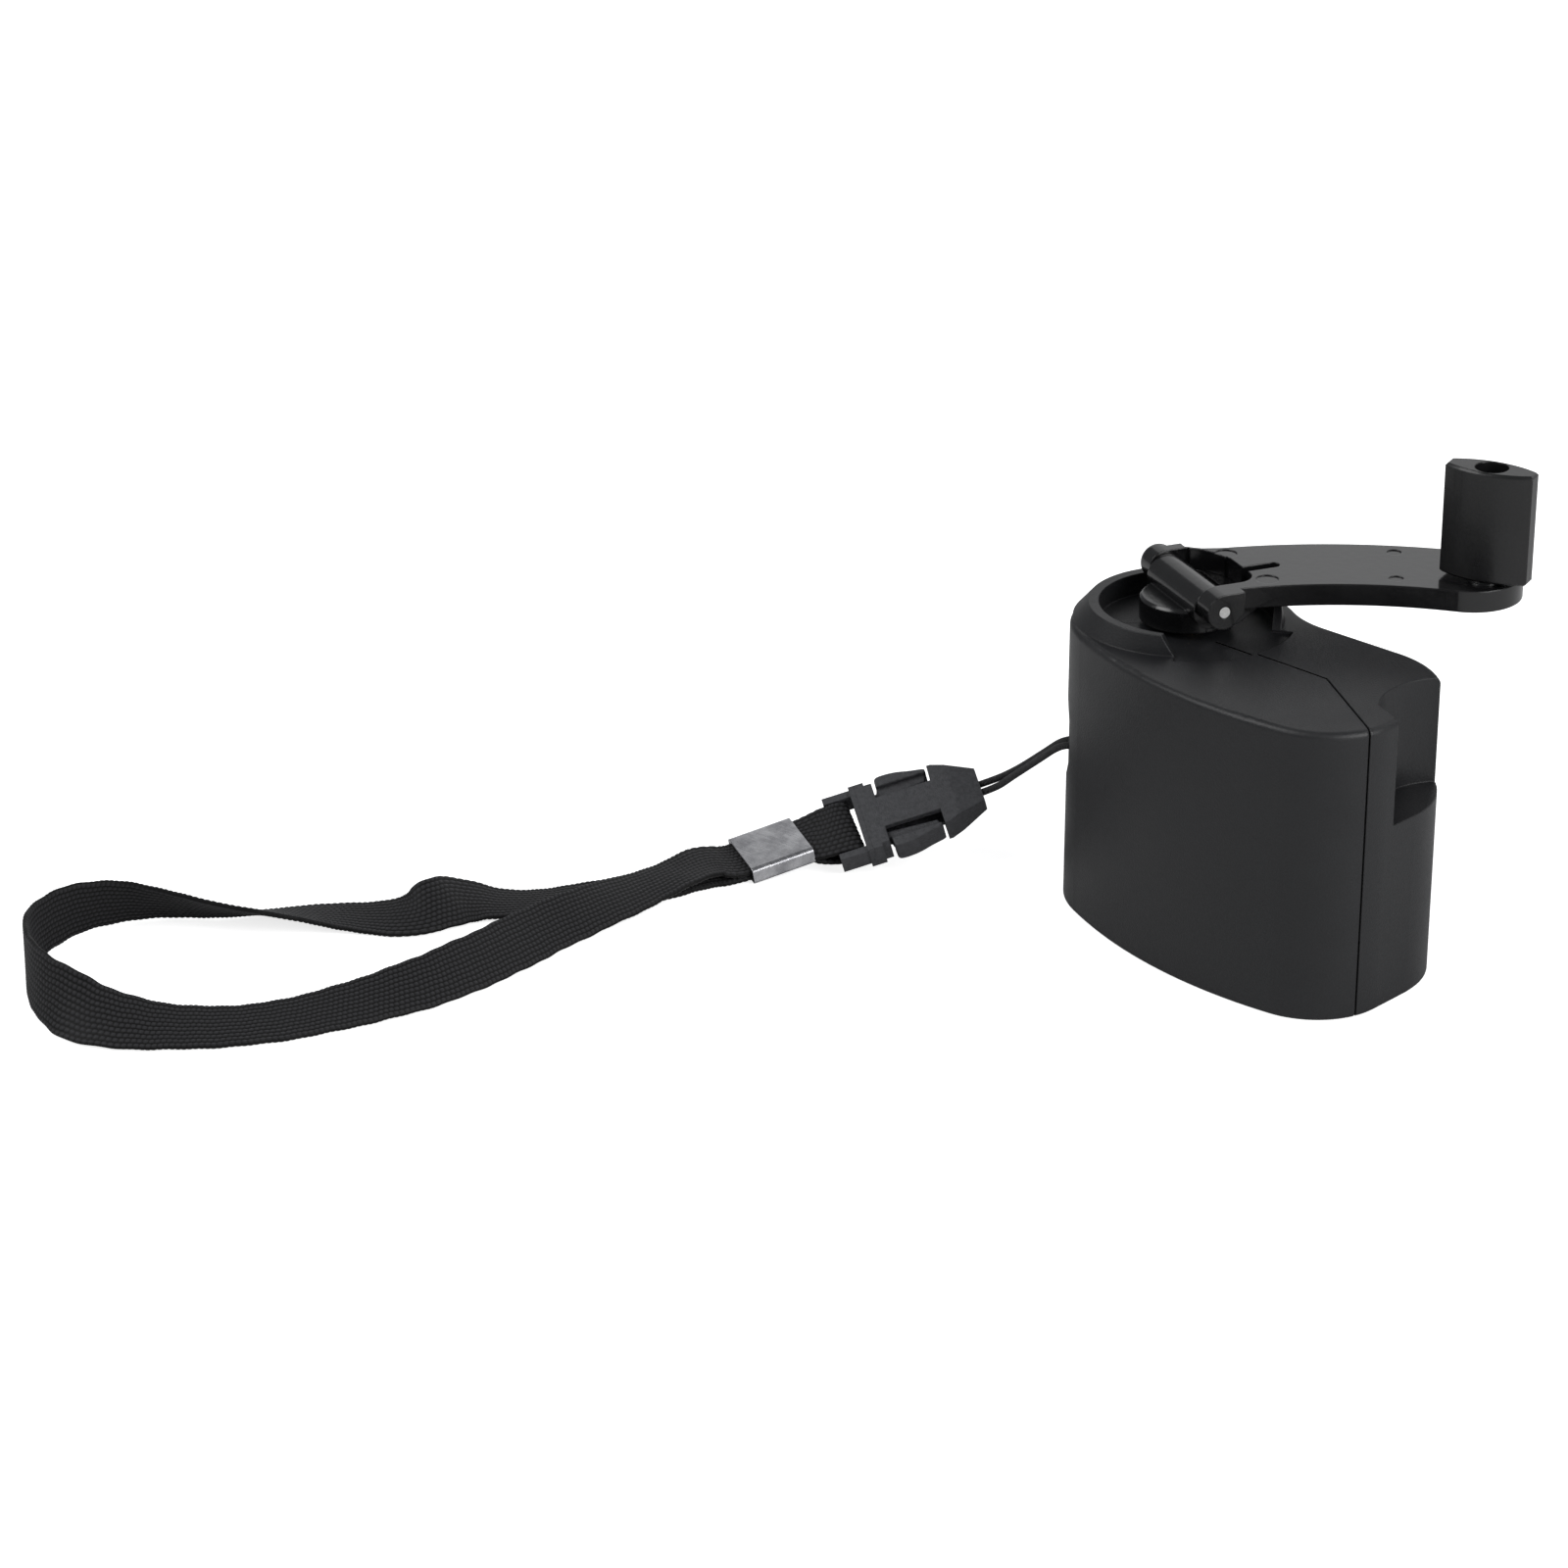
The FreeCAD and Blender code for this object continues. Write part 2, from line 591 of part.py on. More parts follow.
def shell_screws():
    screws = []
    for x, z in SHELL_SCREW_PLACES:
        seat = head_seat(x)
        tip = seam_y(x) - SHELL_SCREW_REACH
        shank = rod_along_y(x, z, SHELL_SCREW_RADIUS, tip, seat)
        head = rod_along_y(x, z, SHELL_HEAD_RADIUS, seat, seat + SHELL_HEAD_HEIGHT)
        screws.append(fuse([shank, head]).cut(cross_recess_y(x, z, seat + SHELL_HEAD_HEIGHT)))
    return Part.makeCompound(screws)


def cross_recess_y(x, z, top):
    arm = SHELL_HEAD_RADIUS * 0.6
    slot = SHELL_HEAD_RADIUS * 0.14
    depth = SHELL_HEAD_HEIGHT * 0.5
    upright = box(x - slot, x + slot, top - depth, top, z - arm, z + arm)
    level = box(x - arm, x + arm, top - depth, top, z - slot, z + slot)
    return upright.fuse(level)


# ---------------------------------------------------------------- crank

def turned(shape):
    """Moves a piece from the hinge's own frame, pin along Y, to its resting place."""
    shape.rotate(Vec(0, 0, 0), Vec(0, 0, 1), PIN_ANGLE)
    return shape


def pin_rod(radius, v0, v1):
    return Part.makeCylinder(radius, v1 - v0, Vec(0, v0, PIN_HEIGHT), Vec(0, 1, 0))


def crank_hub():
    """Round hub on the shaft, with the hinge barrel across it and the rest for the arm."""
    foot = BODY_HEIGHT - RECESS_DEPTH + HUB_FLOOR_GAP
    disc = rod(0, 0, HUB_RADIUS, foot, PIN_HEIGHT - HUB_TOP_DROP)
    disc = disc.makeChamfer(HUB_TOP_EDGE, edges_at(disc, PIN_HEIGHT - HUB_TOP_DROP))
    barrel = pin_rod(BARREL_RADIUS, NEAR_EAR_INNER + EAR_GAP, FAR_EAR_INNER - EAR_GAP)
    barrel.translate(Vec(0, 0, -BARREL_DROP))
    top = PIN_HEIGHT + ARM_UNDERSIDE - REST_GAP
    side = [(REST_INNER, foot), (REST_INNER + 1.0, foot), (REST_OUTER - 0.6, top - 1.9),
            (REST_OUTER, top - 1.4), (REST_OUTER, top), (REST_INNER, top)]
    corners = [Vec(u, -REST_WIDTH / 2.0, z) for u, z in side]
    rest = Part.Face(Part.makePolygon(corners + corners[:1])).extrude(Vec(0, REST_WIDTH, 0))
    bore = pin_rod(PIN_RADIUS + PIN_CLEARANCE, NEAR_EAR_OUTER, FAR_EAR_OUTER)
    shaft = rod(0, 0, SHAFT_RADIUS, foot - 1.0, SHAFT_TOP)
    return turned(fuse([disc, barrel, rest]).cut([bore, shaft]))


def ear(v0, v1, web_v1):
    """Ear of the arm: round about the pin, with a web that rises to the arm."""
    disc = pin_rod(EAR_RADIUS, v0, v1)
    if web_v1 < v1:
        disc = disc.makeFillet(EAR_CAP_RADIUS, [e for e in disc.Edges if e.BoundBox.YMin > v1 - 0.01])
    low = EAR_RADIUS * math.sqrt(0.5)
    underside = PIN_HEIGHT + ARM_UNDERSIDE
    web = [(0.0, PIN_HEIGHT), (low, PIN_HEIGHT - low), (2 * low + ARM_UNDERSIDE, underside),
           (2 * low + ARM_UNDERSIDE, PIN_HEIGHT + EAR_RADIUS), (0.0, PIN_HEIGHT + EAR_RADIUS)]
    corners = [Vec(u, v0, z) for u, z in web]
    gusset = Part.Face(Part.makePolygon(corners + corners[:1])).extrude(Vec(0, web_v1 - v0, 0))
    return disc.fuse(gusset)


def bend_v(radius, u):
    """V of an arc about the arm's bend centre, at u."""
    return ARM_BEND_CENTRE[1] + math.sqrt(radius ** 2 - (u - ARM_BEND_CENTRE[0]) ** 2)


def arm_plan(z):
    """Curved blade with a round tail, widening into the fork at the hinge."""
    outer = ARM_BEND_RADIUS + ARM_WIDTH / 2.0
    inner = ARM_BEND_RADIUS - ARM_WIDTH / 2.0
    tail = polar(ARM_BEND_RADIUS, ARM_TAIL_ANGLE, ARM_BEND_CENTRE, z)
    far_u, near_u = 8.0, 3.2
    far = Vec(far_u, bend_v(outer, far_u), z)
    near = Vec(near_u, bend_v(inner, near_u), z)
    far_angle = heading(ARM_BEND_CENTRE, far)
    near_angle = heading(ARM_BEND_CENTRE, near)
    fork = [far, Vec(5.2, far.y + 1.0, z), Vec(1.4, FAR_WEB_END, z), Vec(0, FAR_WEB_END, z),
            Vec(0, NEAR_EAR_OUTER, z), Vec(0.6, NEAR_EAR_OUTER, z), near]
    edges = [arc(ARM_BEND_CENTRE, inner, near_angle, ARM_TAIL_ANGLE, z),
             arc((tail.x, tail.y), ARM_WIDTH / 2.0, ARM_TAIL_ANGLE - 180.0, ARM_TAIL_ANGLE, z),
             arc(ARM_BEND_CENTRE, outer, ARM_TAIL_ANGLE, far_angle, z)]
    edges += [line(a, b) for a, b in zip(fork, fork[1:])]
    return Part.Face(Part.Wire(edges))


def crank_arm():
    """Forked arm that turns on the hinge pin and carries the knob."""
    top = PIN_HEIGHT + EAR_RADIUS
    low = PIN_HEIGHT + ARM_UNDERSIDE
    blade = arm_plan(low).extrude(Vec(0, 0, top - low))
    ears = [ear(NEAR_EAR_OUTER, NEAR_EAR_INNER, NEAR_EAR_INNER), ear(FAR_EAR_INNER, FAR_EAR_OUTER, FAR_WEB_END)]
    shape = fuse([blade] + ears)
    window = box(-2 * EAR_RADIUS, WINDOW_END, NEAR_EAR_INNER, FAR_EAR_INNER, PIN_HEIGHT - 5, top + 1)
    uprights = [e for e in window.Edges if e.Length > 5 and abs(e.tangentAt(0).z) > 0.99
                and e.CenterOfMass.x > 0]
    window = window.makeFillet(WINDOW_CORNER_RADIUS, uprights)
    inner = BARREL_RADIUS + 0.5
    far_fill = box(inner, WINDOW_END, WINDOW_FILL_V, FAR_EAR_INNER + 1, PIN_HEIGHT - 6, top + 2)
    window = window.cut(far_fill.cut(rod(0, 0, HUB_RADIUS + HUB_SWEEP_GAP, PIN_HEIGHT - 6, top + 2)))
    slot = box(WINDOW_END - 1, SLOT_END - SLOT_WIDTH / 2.0, SLOT_V - SLOT_WIDTH / 2.0,
               SLOT_V + SLOT_WIDTH / 2.0, low - 1, top + 1)
    slot_end = rod(SLOT_END - SLOT_WIDTH / 2.0, SLOT_V, SLOT_WIDTH / 2.0, low - 1, top + 1)
    shape = shape.cut([window, slot, slot_end, pin_rod(PIN_RADIUS, NEAR_EAR_OUTER, FAR_EAR_OUTER)])
    marks = [rod(u, v, r, top - EJECTOR_DEPTH, top + 1) for u, v, r in EJECTOR_MARKS]
    boss = rod(KNOB_CENTRE[0], KNOB_CENTRE[1], KNOB_BOSS_RADIUS, top, top + KNOB_BOSS_HEIGHT)
    thread = rod(KNOB_CENTRE[0], KNOB_CENTRE[1], KNOB_SCREW_RADIUS, top - KNOB_SCREW_DEPTH, top + 1)
    return turned(shape.cut(marks).fuse(boss).cut(thread).removeSplitter())


def hinge_pin():
    return turned(pin_rod(PIN_RADIUS, NEAR_EAR_OUTER, FAR_EAR_OUTER))


def knob_foot():
    return PIN_HEIGHT + EAR_RADIUS + KNOB_BOSS_HEIGHT + KNOB_END_PLAY


def knob():
    """Lens-shaped grip with flat ends, a deep socket for the screw and bevelled edges."""
    foot = knob_foot()
    half = KNOB_LENGTH / 2.0
    flat = KNOB_END_FLAT / 2.0
    wide = KNOB_WIDTH / 2.0
    edges = [Part.Arc(Vec(-half, -flat, foot), Vec(0, -wide, foot), Vec(half, -flat, foot)).toShape(),
             line(Vec(half, -flat, foot), Vec(half, flat, foot)),
             Part.Arc(Vec(half, flat, foot), Vec(0, wide, foot), Vec(-half, flat, foot)).toShape(),
             line(Vec(-half, flat, foot), Vec(-half, -flat, foot))]
    grip = Part.Face(Part.Wire(edges)).extrude(Vec(0, 0, KNOB_HEIGHT))
    grip = grip.makeChamfer(KNOB_EDGE, edges_at(grip, foot + KNOB_HEIGHT) + edges_at(grip, foot))
    socket = rod(0, 0, KNOB_SOCKET_RADIUS, foot + KNOB_HEIGHT - KNOB_SOCKET_DEPTH, foot + KNOB_HEIGHT)
    bore = rod(0, 0, KNOB_SCREW_RADIUS + RUNNING_CLEARANCE, foot, foot + KNOB_HEIGHT)
    grip = grip.cut([socket, bore])
    grip.rotate(Vec(0, 0, 0), Vec(0, 0, 1), KNOB_ANGLE)
    grip.translate(Vec(KNOB_CENTRE[0], KNOB_CENTRE[1], 0))
    return turned(grip)


def knob_screw():
    u, v = KNOB_CENTRE
    seat = knob_foot() + KNOB_HEIGHT - KNOB_SOCKET_DEPTH + KNOB_END_PLAY
    shank = rod(u, v, KNOB_SCREW_RADIUS, PIN_HEIGHT + EAR_RADIUS - KNOB_SCREW_DEPTH, seat)
    head = rod(u, v, KNOB_SCREW_HEAD_RADIUS, seat, seat + KNOB_SCREW_HEAD_HEIGHT)
    arm = KNOB_SCREW_HEAD_RADIUS * 0.6
    slot = KNOB_SCREW_HEAD_RADIUS * 0.14
    top = seat + KNOB_SCREW_HEAD_HEIGHT
    cross = box(u - arm, u + arm, v - slot, v + slot, top - 0.8, top)
    cross = cross.fuse(box(u - slot, u + slot, v - arm, v + arm, top - 0.8, top))
    return turned(fuse([shank, head]).cut(cross))


# ---------------------------------------------------------------- gear train

def pitch_radius(teeth, module):
    return teeth * module / 2.0


def stage_point(start, teeth_a, teeth_b, module, direction):
    distance = pitch_radius(teeth_a + teeth_b, module) + CENTRE_PLAY
    return polar(distance, direction, start)


def mesh_phase(phase, teeth_a, teeth_b, direction):
    """Angle of a tooth of the second gear that meshes with the first one."""
    ahead = (direction - phase) * teeth_a / 360.0
    return direction + 180.0 - (0.5 - ahead) * 360.0 / teeth_b


def involute(angle):
    return math.tan(angle) - angle


def gear(teeth, module, phase, centre, span, addendum=1.0):
    """Spur gear with involute flanks, each flank an arc through three points of the involute."""
    pitch = pitch_radius(teeth, module)
    base = pitch * math.cos(math.radians(PRESSURE_ANGLE))
    tip = pitch + addendum * module
    root = pitch - DEDENDUM * module
    low = max(base, root)
    half = math.pi / (2 * teeth) - BACKLASH / (4 * pitch) + involute(math.radians(PRESSURE_ANGLE))

    def flank(radius, side, tooth):
        spread = half - involute(math.acos(min(1.0, base / radius)))
        angle = math.radians(phase) + tooth * 2 * math.pi / teeth + side * spread
        return Vec(centre[0] + radius * math.cos(angle), centre[1] + radius * math.sin(angle), span[0])

    def foot(side, tooth):
        at = flank(low, side, tooth) - Vec(centre[0], centre[1], span[0])
        return Vec(centre[0], centre[1], span[0]) + at * (root / low)

    middle = (low + tip) / 2.0
    edges = []
    for tooth in range(teeth):
        if low > root:
            edges.append(line(foot(-1, tooth), flank(low, -1, tooth)))
        edges.append(Part.Arc(flank(low, -1, tooth), flank(middle, -1, tooth), flank(tip, -1, tooth)).toShape())
        edges.append(line(flank(tip, -1, tooth), flank(tip, 1, tooth)))
        edges.append(Part.Arc(flank(tip, 1, tooth), flank(middle, 1, tooth), flank(low, 1, tooth)).toShape())
        if low > root:
            edges.append(line(flank(low, 1, tooth), foot(1, tooth)))
        edges.append(line(foot(1, tooth), foot(-1, tooth + 1)))
    return Part.Face(Part.Wire(edges)).extrude(Vec(0, 0, span[1] - span[0]))


def axle_places():
    second = stage_point((0.0, 0.0), DRIVE_TEETH, SECOND_PINION_TEETH, COARSE_MODULE, SECOND_DIRECTION)
    third = stage_point(second, SECOND_WHEEL_TEETH, THIRD_PINION_TEETH, COARSE_MODULE, THIRD_DIRECTION)
    motor = stage_point(third, THIRD_WHEEL_TEETH, MOTOR_PINION_TEETH, FINE_MODULE, MOTOR_DIRECTION)
    return second, third, motor


def plate_top():
    return LOWER_PLATE_Z + PLATE_THICKNESS


def drive_gear():
    """Large gear on the crank shaft, with a boss above it and six lightening holes."""
    wheel = gear(DRIVE_TEETH, COARSE_MODULE, 0.0, (0.0, 0.0), DRIVE_Z, WHEEL_ADDENDUM)
    boss = rod(0, 0, SHAFT_RADIUS * 2, DRIVE_Z[0] - 2.0, DRIVE_Z[1])
    holes = [rod(*polar(8.0, a)[:2], 1.9, *DRIVE_Z) for a in range(0, 360, 60)]
    return fuse([wheel, boss]).cut(holes + [rod(0, 0, SHAFT_RADIUS, DRIVE_Z[0] - 3, DRIVE_Z[1] + 1)])


def compound_gear(centre, wheel, pinion, spans):
    """Wheel and pinion moulded in one, with a hub that fills the room between the plates."""
    hub = rod(centre.x, centre.y, GEAR_HUB_RADIUS, plate_top() + GEAR_END_PLAY, UPPER_PLATE_Z - GEAR_END_PLAY)
    bore = rod(centre.x, centre.y, AXLE_RADIUS + RUNNING_CLEARANCE, LOWER_PLATE_Z, UPPER_PLATE_Z)
    return fuse([hub, gear(*wheel, centre, spans[0], WHEEL_ADDENDUM), gear(*pinion, centre, spans[1])]).cut(bore)


def second_gear():
    second = axle_places()[0]
    phase = mesh_phase(0.0, DRIVE_TEETH, SECOND_PINION_TEETH, SECOND_DIRECTION)
    return compound_gear(second, (SECOND_WHEEL_TEETH, COARSE_MODULE, 0.0),
                         (SECOND_PINION_TEETH, COARSE_MODULE, phase), (SECOND_WHEEL_Z, SECOND_PINION_Z))


def third_gear():
    third = axle_places()[1]
    phase = mesh_phase(0.0, SECOND_WHEEL_TEETH, THIRD_PINION_TEETH, THIRD_DIRECTION)
    return compound_gear(third, (THIRD_WHEEL_TEETH, FINE_MODULE, 0.0),
                         (THIRD_PINION_TEETH, COARSE_MODULE, phase), (THIRD_WHEEL_Z, THIRD_PINION_Z))


def motor_pinion():
    motor = axle_places()[2]
    phase = mesh_phase(0.0, THIRD_WHEEL_TEETH, MOTOR_PINION_TEETH, MOTOR_DIRECTION)
    teeth = gear(MOTOR_PINION_TEETH, FINE_MODULE, phase, motor, MOTOR_PINION_Z)
    return teeth.cut(rod(motor.x, motor.y, MOTOR_SHAFT_RADIUS, *MOTOR_PINION_Z))


def gear_axles():
    top = UPPER_PLATE_Z + PLATE_THICKNESS
    return Part.makeCompound([rod(p.x, p.y, AXLE_RADIUS, LOWER_PLATE_Z, top) for p in axle_places()[:2]])


def crank_shaft():
    shaft = rod(0, 0, SHAFT_RADIUS, SHAFT_BOTTOM, SHAFT_TOP)
    clip_z = LOWER_PLATE_Z - GEAR_END_PLAY - CLIP_THICKNESS
    return shaft.cut(ring(0, 0, SHAFT_RADIUS + 1, SHAFT_RADIUS * 0.75, clip_z, clip_z + CLIP_THICKNESS))


def shaft_clip():
    """E-shaped retaining clip in the groove at the foot of the shaft."""
    z0 = LOWER_PLATE_Z - GEAR_END_PLAY - CLIP_THICKNESS
    z1 = z0 + CLIP_THICKNESS
    inner = SHAFT_RADIUS * 0.75
    clip = ring(0, 0, CLIP_RADIUS, inner, z0, z1)
    return clip.cut(box(0, CLIP_RADIUS + 1, -inner * 0.8, inner * 0.8, z0, z1))


def hub_bushing():
    """Flanged bush, held in the two half seats of the shells."""
    top = BODY_HEIGHT - RECESS_DEPTH + BUSHING_PROUD
    foot = BODY_HEIGHT - WALL
    sleeve = rod(0, 0, BUSHING_RADIUS, foot, top)
    flange = rod(0, 0, BUSHING_FLANGE_RADIUS, foot - BUSHING_FLANGE, foot)
    bore = rod(0, 0, SHAFT_RADIUS + RUNNING_CLEARANCE, foot - 2, top + 1)
    return fuse([sleeve, flange]).cut(bore)


def plate_blank(z):
    return outline_prism(WALL + PLATE_GAP, z, z + PLATE_THICKNESS)


def gear_plate_lower():
    """Plate on the housing's ledge; the motor hangs from it and the axles stand in it."""
    top = plate_top()
    motor = axle_places()[2]
    cuts = [rod(p.x, p.y, AXLE_RADIUS, LOWER_PLATE_Z, top) for p in axle_places()[:2]]
    cuts.append(rod(0, 0, SHAFT_RADIUS + RUNNING_CLEARANCE, LOWER_PLATE_Z, top))
    cuts.append(rod(motor.x, motor.y, MOTOR_SHAFT_RADIUS * 3, LOWER_PLATE_Z, top))
    cuts += [rod(p.x, p.y, SMALL_SCREW_RADIUS, LOWER_PLATE_Z, top) for p in motor_screw_places()]
    cuts.append(dish_sphere(DISH_WALL + PLATE_GAP))
    return plate_blank(LOWER_PLATE_Z).cut(cuts)


def gear_plate_upper():
    top = UPPER_PLATE_Z + PLATE_THICKNESS
    cuts = [rod(p.x, p.y, AXLE_RADIUS, UPPER_PLATE_Z, top) for p in axle_places()[:2]]
    cuts.append(rod(0, 0, SHAFT_RADIUS + RUNNING_CLEARANCE, UPPER_PLATE_Z, top))
    cuts += [rod(x, y, SMALL_SCREW_RADIUS, UPPER_PLATE_Z, top) for x, y in SPACER_PLACES]
    cuts.append(box(UPPER_PLATE_END, 60, -30, 30, UPPER_PLATE_Z, top))
    return plate_blank(UPPER_PLATE_Z).cut(cuts)


def plate_spacers():
    posts = [rod(x, y, SPACER_RADIUS, plate_top(), UPPER_PLATE_Z) for x, y in SPACER_PLACES]
    tops = [rod(x, y, SMALL_SCREW_RADIUS, UPPER_PLATE_Z + PLATE_THICKNESS - SMALL_SCREW_LENGTH, UPPER_PLATE_Z)
            for x, y in SPACER_PLACES]
    return Part.makeCompound([p.cut(t) for p, t in zip(posts, tops)])


def small_screw(x, y, seat):
    """Pan head screw standing head up on the seat height."""
    head = rod(x, y, SMALL_HEAD_RADIUS, seat, seat + SMALL_HEAD_HEIGHT)
    slot = box(x - SMALL_HEAD_RADIUS, x + SMALL_HEAD_RADIUS, y - 0.2, y + 0.2, seat + 0.6, seat + SMALL_HEAD_HEIGHT)
    shank = rod(x, y, SMALL_SCREW_RADIUS, seat - SMALL_SCREW_LENGTH, seat)
    return fuse([head, shank]).cut(slot)


def plate_screws():
    seat = UPPER_PLATE_Z + PLATE_THICKNESS
    return Part.makeCompound([small_screw(x, y, seat) for x, y in SPACER_PLACES])


# ---------------------------------------------------------------- motor

def motor_screw_places():
    motor = axle_places()[2]
    return [polar(MOTOR_SCREW_OFFSET, MOTOR_SCREW_ANGLE + a, motor) for a in (0.0, 180.0)]


def motor_screws():
    """Two short screws through the lower plate into the motor's top."""
    screws = []
    for place in motor_screw_places():
        seat = plate_top()
        head = rod(place.x, place.y, SMALL_HEAD_RADIUS, seat, seat + SMALL_HEAD_HEIGHT)
        shank = rod(place.x, place.y, SMALL_SCREW_RADIUS, LOWER_PLATE_Z - MOTOR_CAN_WALL, seat)
        screws.append(fuse([head, shank]))
    return Part.makeCompound(screws)


def motor_can():
    """Drawn steel cup, closed at the top by the face that screws to the plate."""
    motor = axle_places()[2]
    foot = LOWER_PLATE_Z - MOTOR_LENGTH
    cup = rod(motor.x, motor.y, MOTOR_RADIUS, foot, LOWER_PLATE_Z)
    cuts = [rod(motor.x, motor.y, MOTOR_RADIUS - MOTOR_CAN_WALL, foot, LOWER_PLATE_Z - MOTOR_CAN_WALL),
            rod(motor.x, motor.y, MOTOR_SHAFT_RADIUS + RUNNING_CLEARANCE, foot, LOWER_PLATE_Z)]
    cuts += [rod(p.x, p.y, SMALL_SCREW_RADIUS, foot, LOWER_PLATE_Z) for p in motor_screw_places()]
    return cup.cut(cuts)


def motor_end_cap():
    motor = axle_places()[2]
    foot = LOWER_PLATE_Z - MOTOR_LENGTH
    disc = rod(motor.x, motor.y, MOTOR_RADIUS - MOTOR_CAN_WALL, foot, foot + END_CAP_THICKNESS)
    return disc.cut(rod(motor.x, motor.y, MOTOR_SHAFT_RADIUS + RUNNING_CLEARANCE, foot, foot + END_CAP_THICKNESS))


def motor_magnets():
    """Two curved magnets bonded to the wall of the can."""
    motor = axle_places()[2]
    outer = MOTOR_RADIUS - MOTOR_CAN_WALL
    top = LOWER_PLATE_Z - MOTOR_CAN_WALL
    full = ring(motor.x, motor.y, outer, outer - MAGNET_THICKNESS, top - MAGNET_HEIGHT, top)
    arcs = []
    for middle in (0.0, 180.0):
        wedge = sector_wedge((middle - MAGNET_SPAN / 2, middle + MAGNET_SPAN / 2),
                             (middle - MAGNET_SPAN / 2, middle + MAGNET_SPAN / 2),
                             3 * MOTOR_RADIUS, top - MAGNET_HEIGHT, top)
        wedge.translate(Vec(motor.x, motor.y, 0))
        arcs.append(full.common(wedge))
    return Part.makeCompound(arcs)


def rotor_span():
    top = LOWER_PLATE_Z - MOTOR_CAN_WALL - 1.6
    return top - ROTOR_HEIGHT, top


def pole_neck(motor, angle, half_width, inner, outer, z0, z1):
    neck = box(inner, outer, -half_width, half_width, z0, z1)
    neck.rotate(Vec(0, 0, 0), Vec(0, 0, 1), angle)
    neck.translate(Vec(motor.x, motor.y, 0))
    return neck


def rotor_core():
    """Stack of iron sheets with three poles, each ending in a curved shoe."""
    motor = axle_places()[2]
    z0, z1 = rotor_span()
    shapes = [rod(motor.x, motor.y, ROTOR_CORE_RADIUS, z0, z1)]
    shoe_ring = ring(motor.x, motor.y, ROTOR_RADIUS, ROTOR_RADIUS - POLE_SHOE_DEPTH, z0, z1)
    for pole in range(POLE_COUNT):
        angle = pole * 360.0 / POLE_COUNT
        shapes.append(pole_neck(motor, angle, POLE_NECK_WIDTH / 2, 0, ROTOR_RADIUS - POLE_SHOE_DEPTH / 2, z0, z1))
        half = POLE_SHOE_SPAN / 2
        wedge = sector_wedge((angle - half, angle + half), (angle - half, angle + half), 3 * ROTOR_RADIUS, z0, z1)
        wedge.translate(Vec(motor.x, motor.y, 0))
        shapes.append(shoe_ring.common(wedge))
    return fuse(shapes).cut(rod(motor.x, motor.y, MOTOR_SHAFT_RADIUS, z0, z1))


def rotor_windings():
    """One coil round each pole neck."""
    motor = axle_places()[2]
    z0, z1 = rotor_span()
    coils = []
    for pole in range(POLE_COUNT):
        angle = pole * 360.0 / POLE_COUNT
        inner = ROTOR_CORE_RADIUS + 0.6
        outer = ROTOR_RADIUS - POLE_SHOE_DEPTH - 0.6
        neck = POLE_NECK_WIDTH / 2
        coil = pole_neck(motor, angle, neck + COIL_THICKNESS, inner, outer, z0 - COIL_THICKNESS, z1 + COIL_THICKNESS)
        coils.append(coil.cut(pole_neck(motor, angle, neck, inner - 1, outer + 1, z0, z1)))
    return Part.makeCompound(coils)


def rotor_shaft():
    motor = axle_places()[2]
    return rod(motor.x, motor.y, MOTOR_SHAFT_RADIUS, LOWER_PLATE_Z - MOTOR_LENGTH, MOTOR_PINION_Z[1])


def commutator():
    """Copper sleeve in three segments under the armature."""
    motor = axle_places()[2]
    z0 = LOWER_PLATE_Z - MOTOR_LENGTH + END_CAP_THICKNESS + 0.3
    sleeve = ring(motor.x, motor.y, COMMUTATOR_RADIUS, MOTOR_SHAFT_RADIUS, z0, z0 + COMMUTATOR_HEIGHT)
    slots = [pole_neck(motor, 60.0 + 120.0 * k, 0.12, COMMUTATOR_RADIUS - 0.5, COMMUTATOR_RADIUS + 1,
                       z0, z0 + COMMUTATOR_HEIGHT) for k in range(POLE_COUNT)]
    return sleeve.cut(slots)


def brush_springs():
    """Two leaf springs on the end cap that press on the commutator."""
    motor = axle_places()[2]
    z0 = LOWER_PLATE_Z - MOTOR_LENGTH + END_CAP_THICKNESS
    leaves = []
    for side in (1.0, -1.0):
        y = COMMUTATOR_RADIUS + 0.1
        leaf = box(-2.0, 6.0, y, y + 0.25, z0, z0 + 1.6)
        foot = box(5.0, 6.0, y, y + 1.8, z0, z0 + 1.6)
        both = fuse([leaf, foot])
        if side < 0:
            both.rotate(Vec(0, 0, 0), Vec(0, 0, 1), 180.0)
        both.translate(Vec(motor.x, motor.y, 0))
        leaves.append(both)
    return Part.makeCompound(leaves)


# ---------------------------------------------------------------- electronics

def board_top():
    return BOARD_Z + BOARD_THICKNESS


def circuit_board():
    blank = outline_prism(WALL + LEDGE + BOARD_EDGE_GAP, BOARD_Z, board_top())
    cuts = [box(BOARD_END_X, 60, -30, 30, BOARD_Z, board_top())]
    cuts += [rod(p.x, p.y, SMALL_SCREW_RADIUS, BOARD_Z, board_top()) for p in board_post_places()]
    return blank.cut(cuts)


def board_screws():
    screws = []
    for place in board_post_places():
        head = rod(place.x, place.y, SMALL_HEAD_RADIUS, board_top(), board_top() + SMALL_HEAD_HEIGHT)
        shank = rod(place.x, place.y, SMALL_SCREW_RADIUS, BOARD_Z, board_top())
        screws.append(fuse([head, shank]))
    return Part.makeCompound(screws)


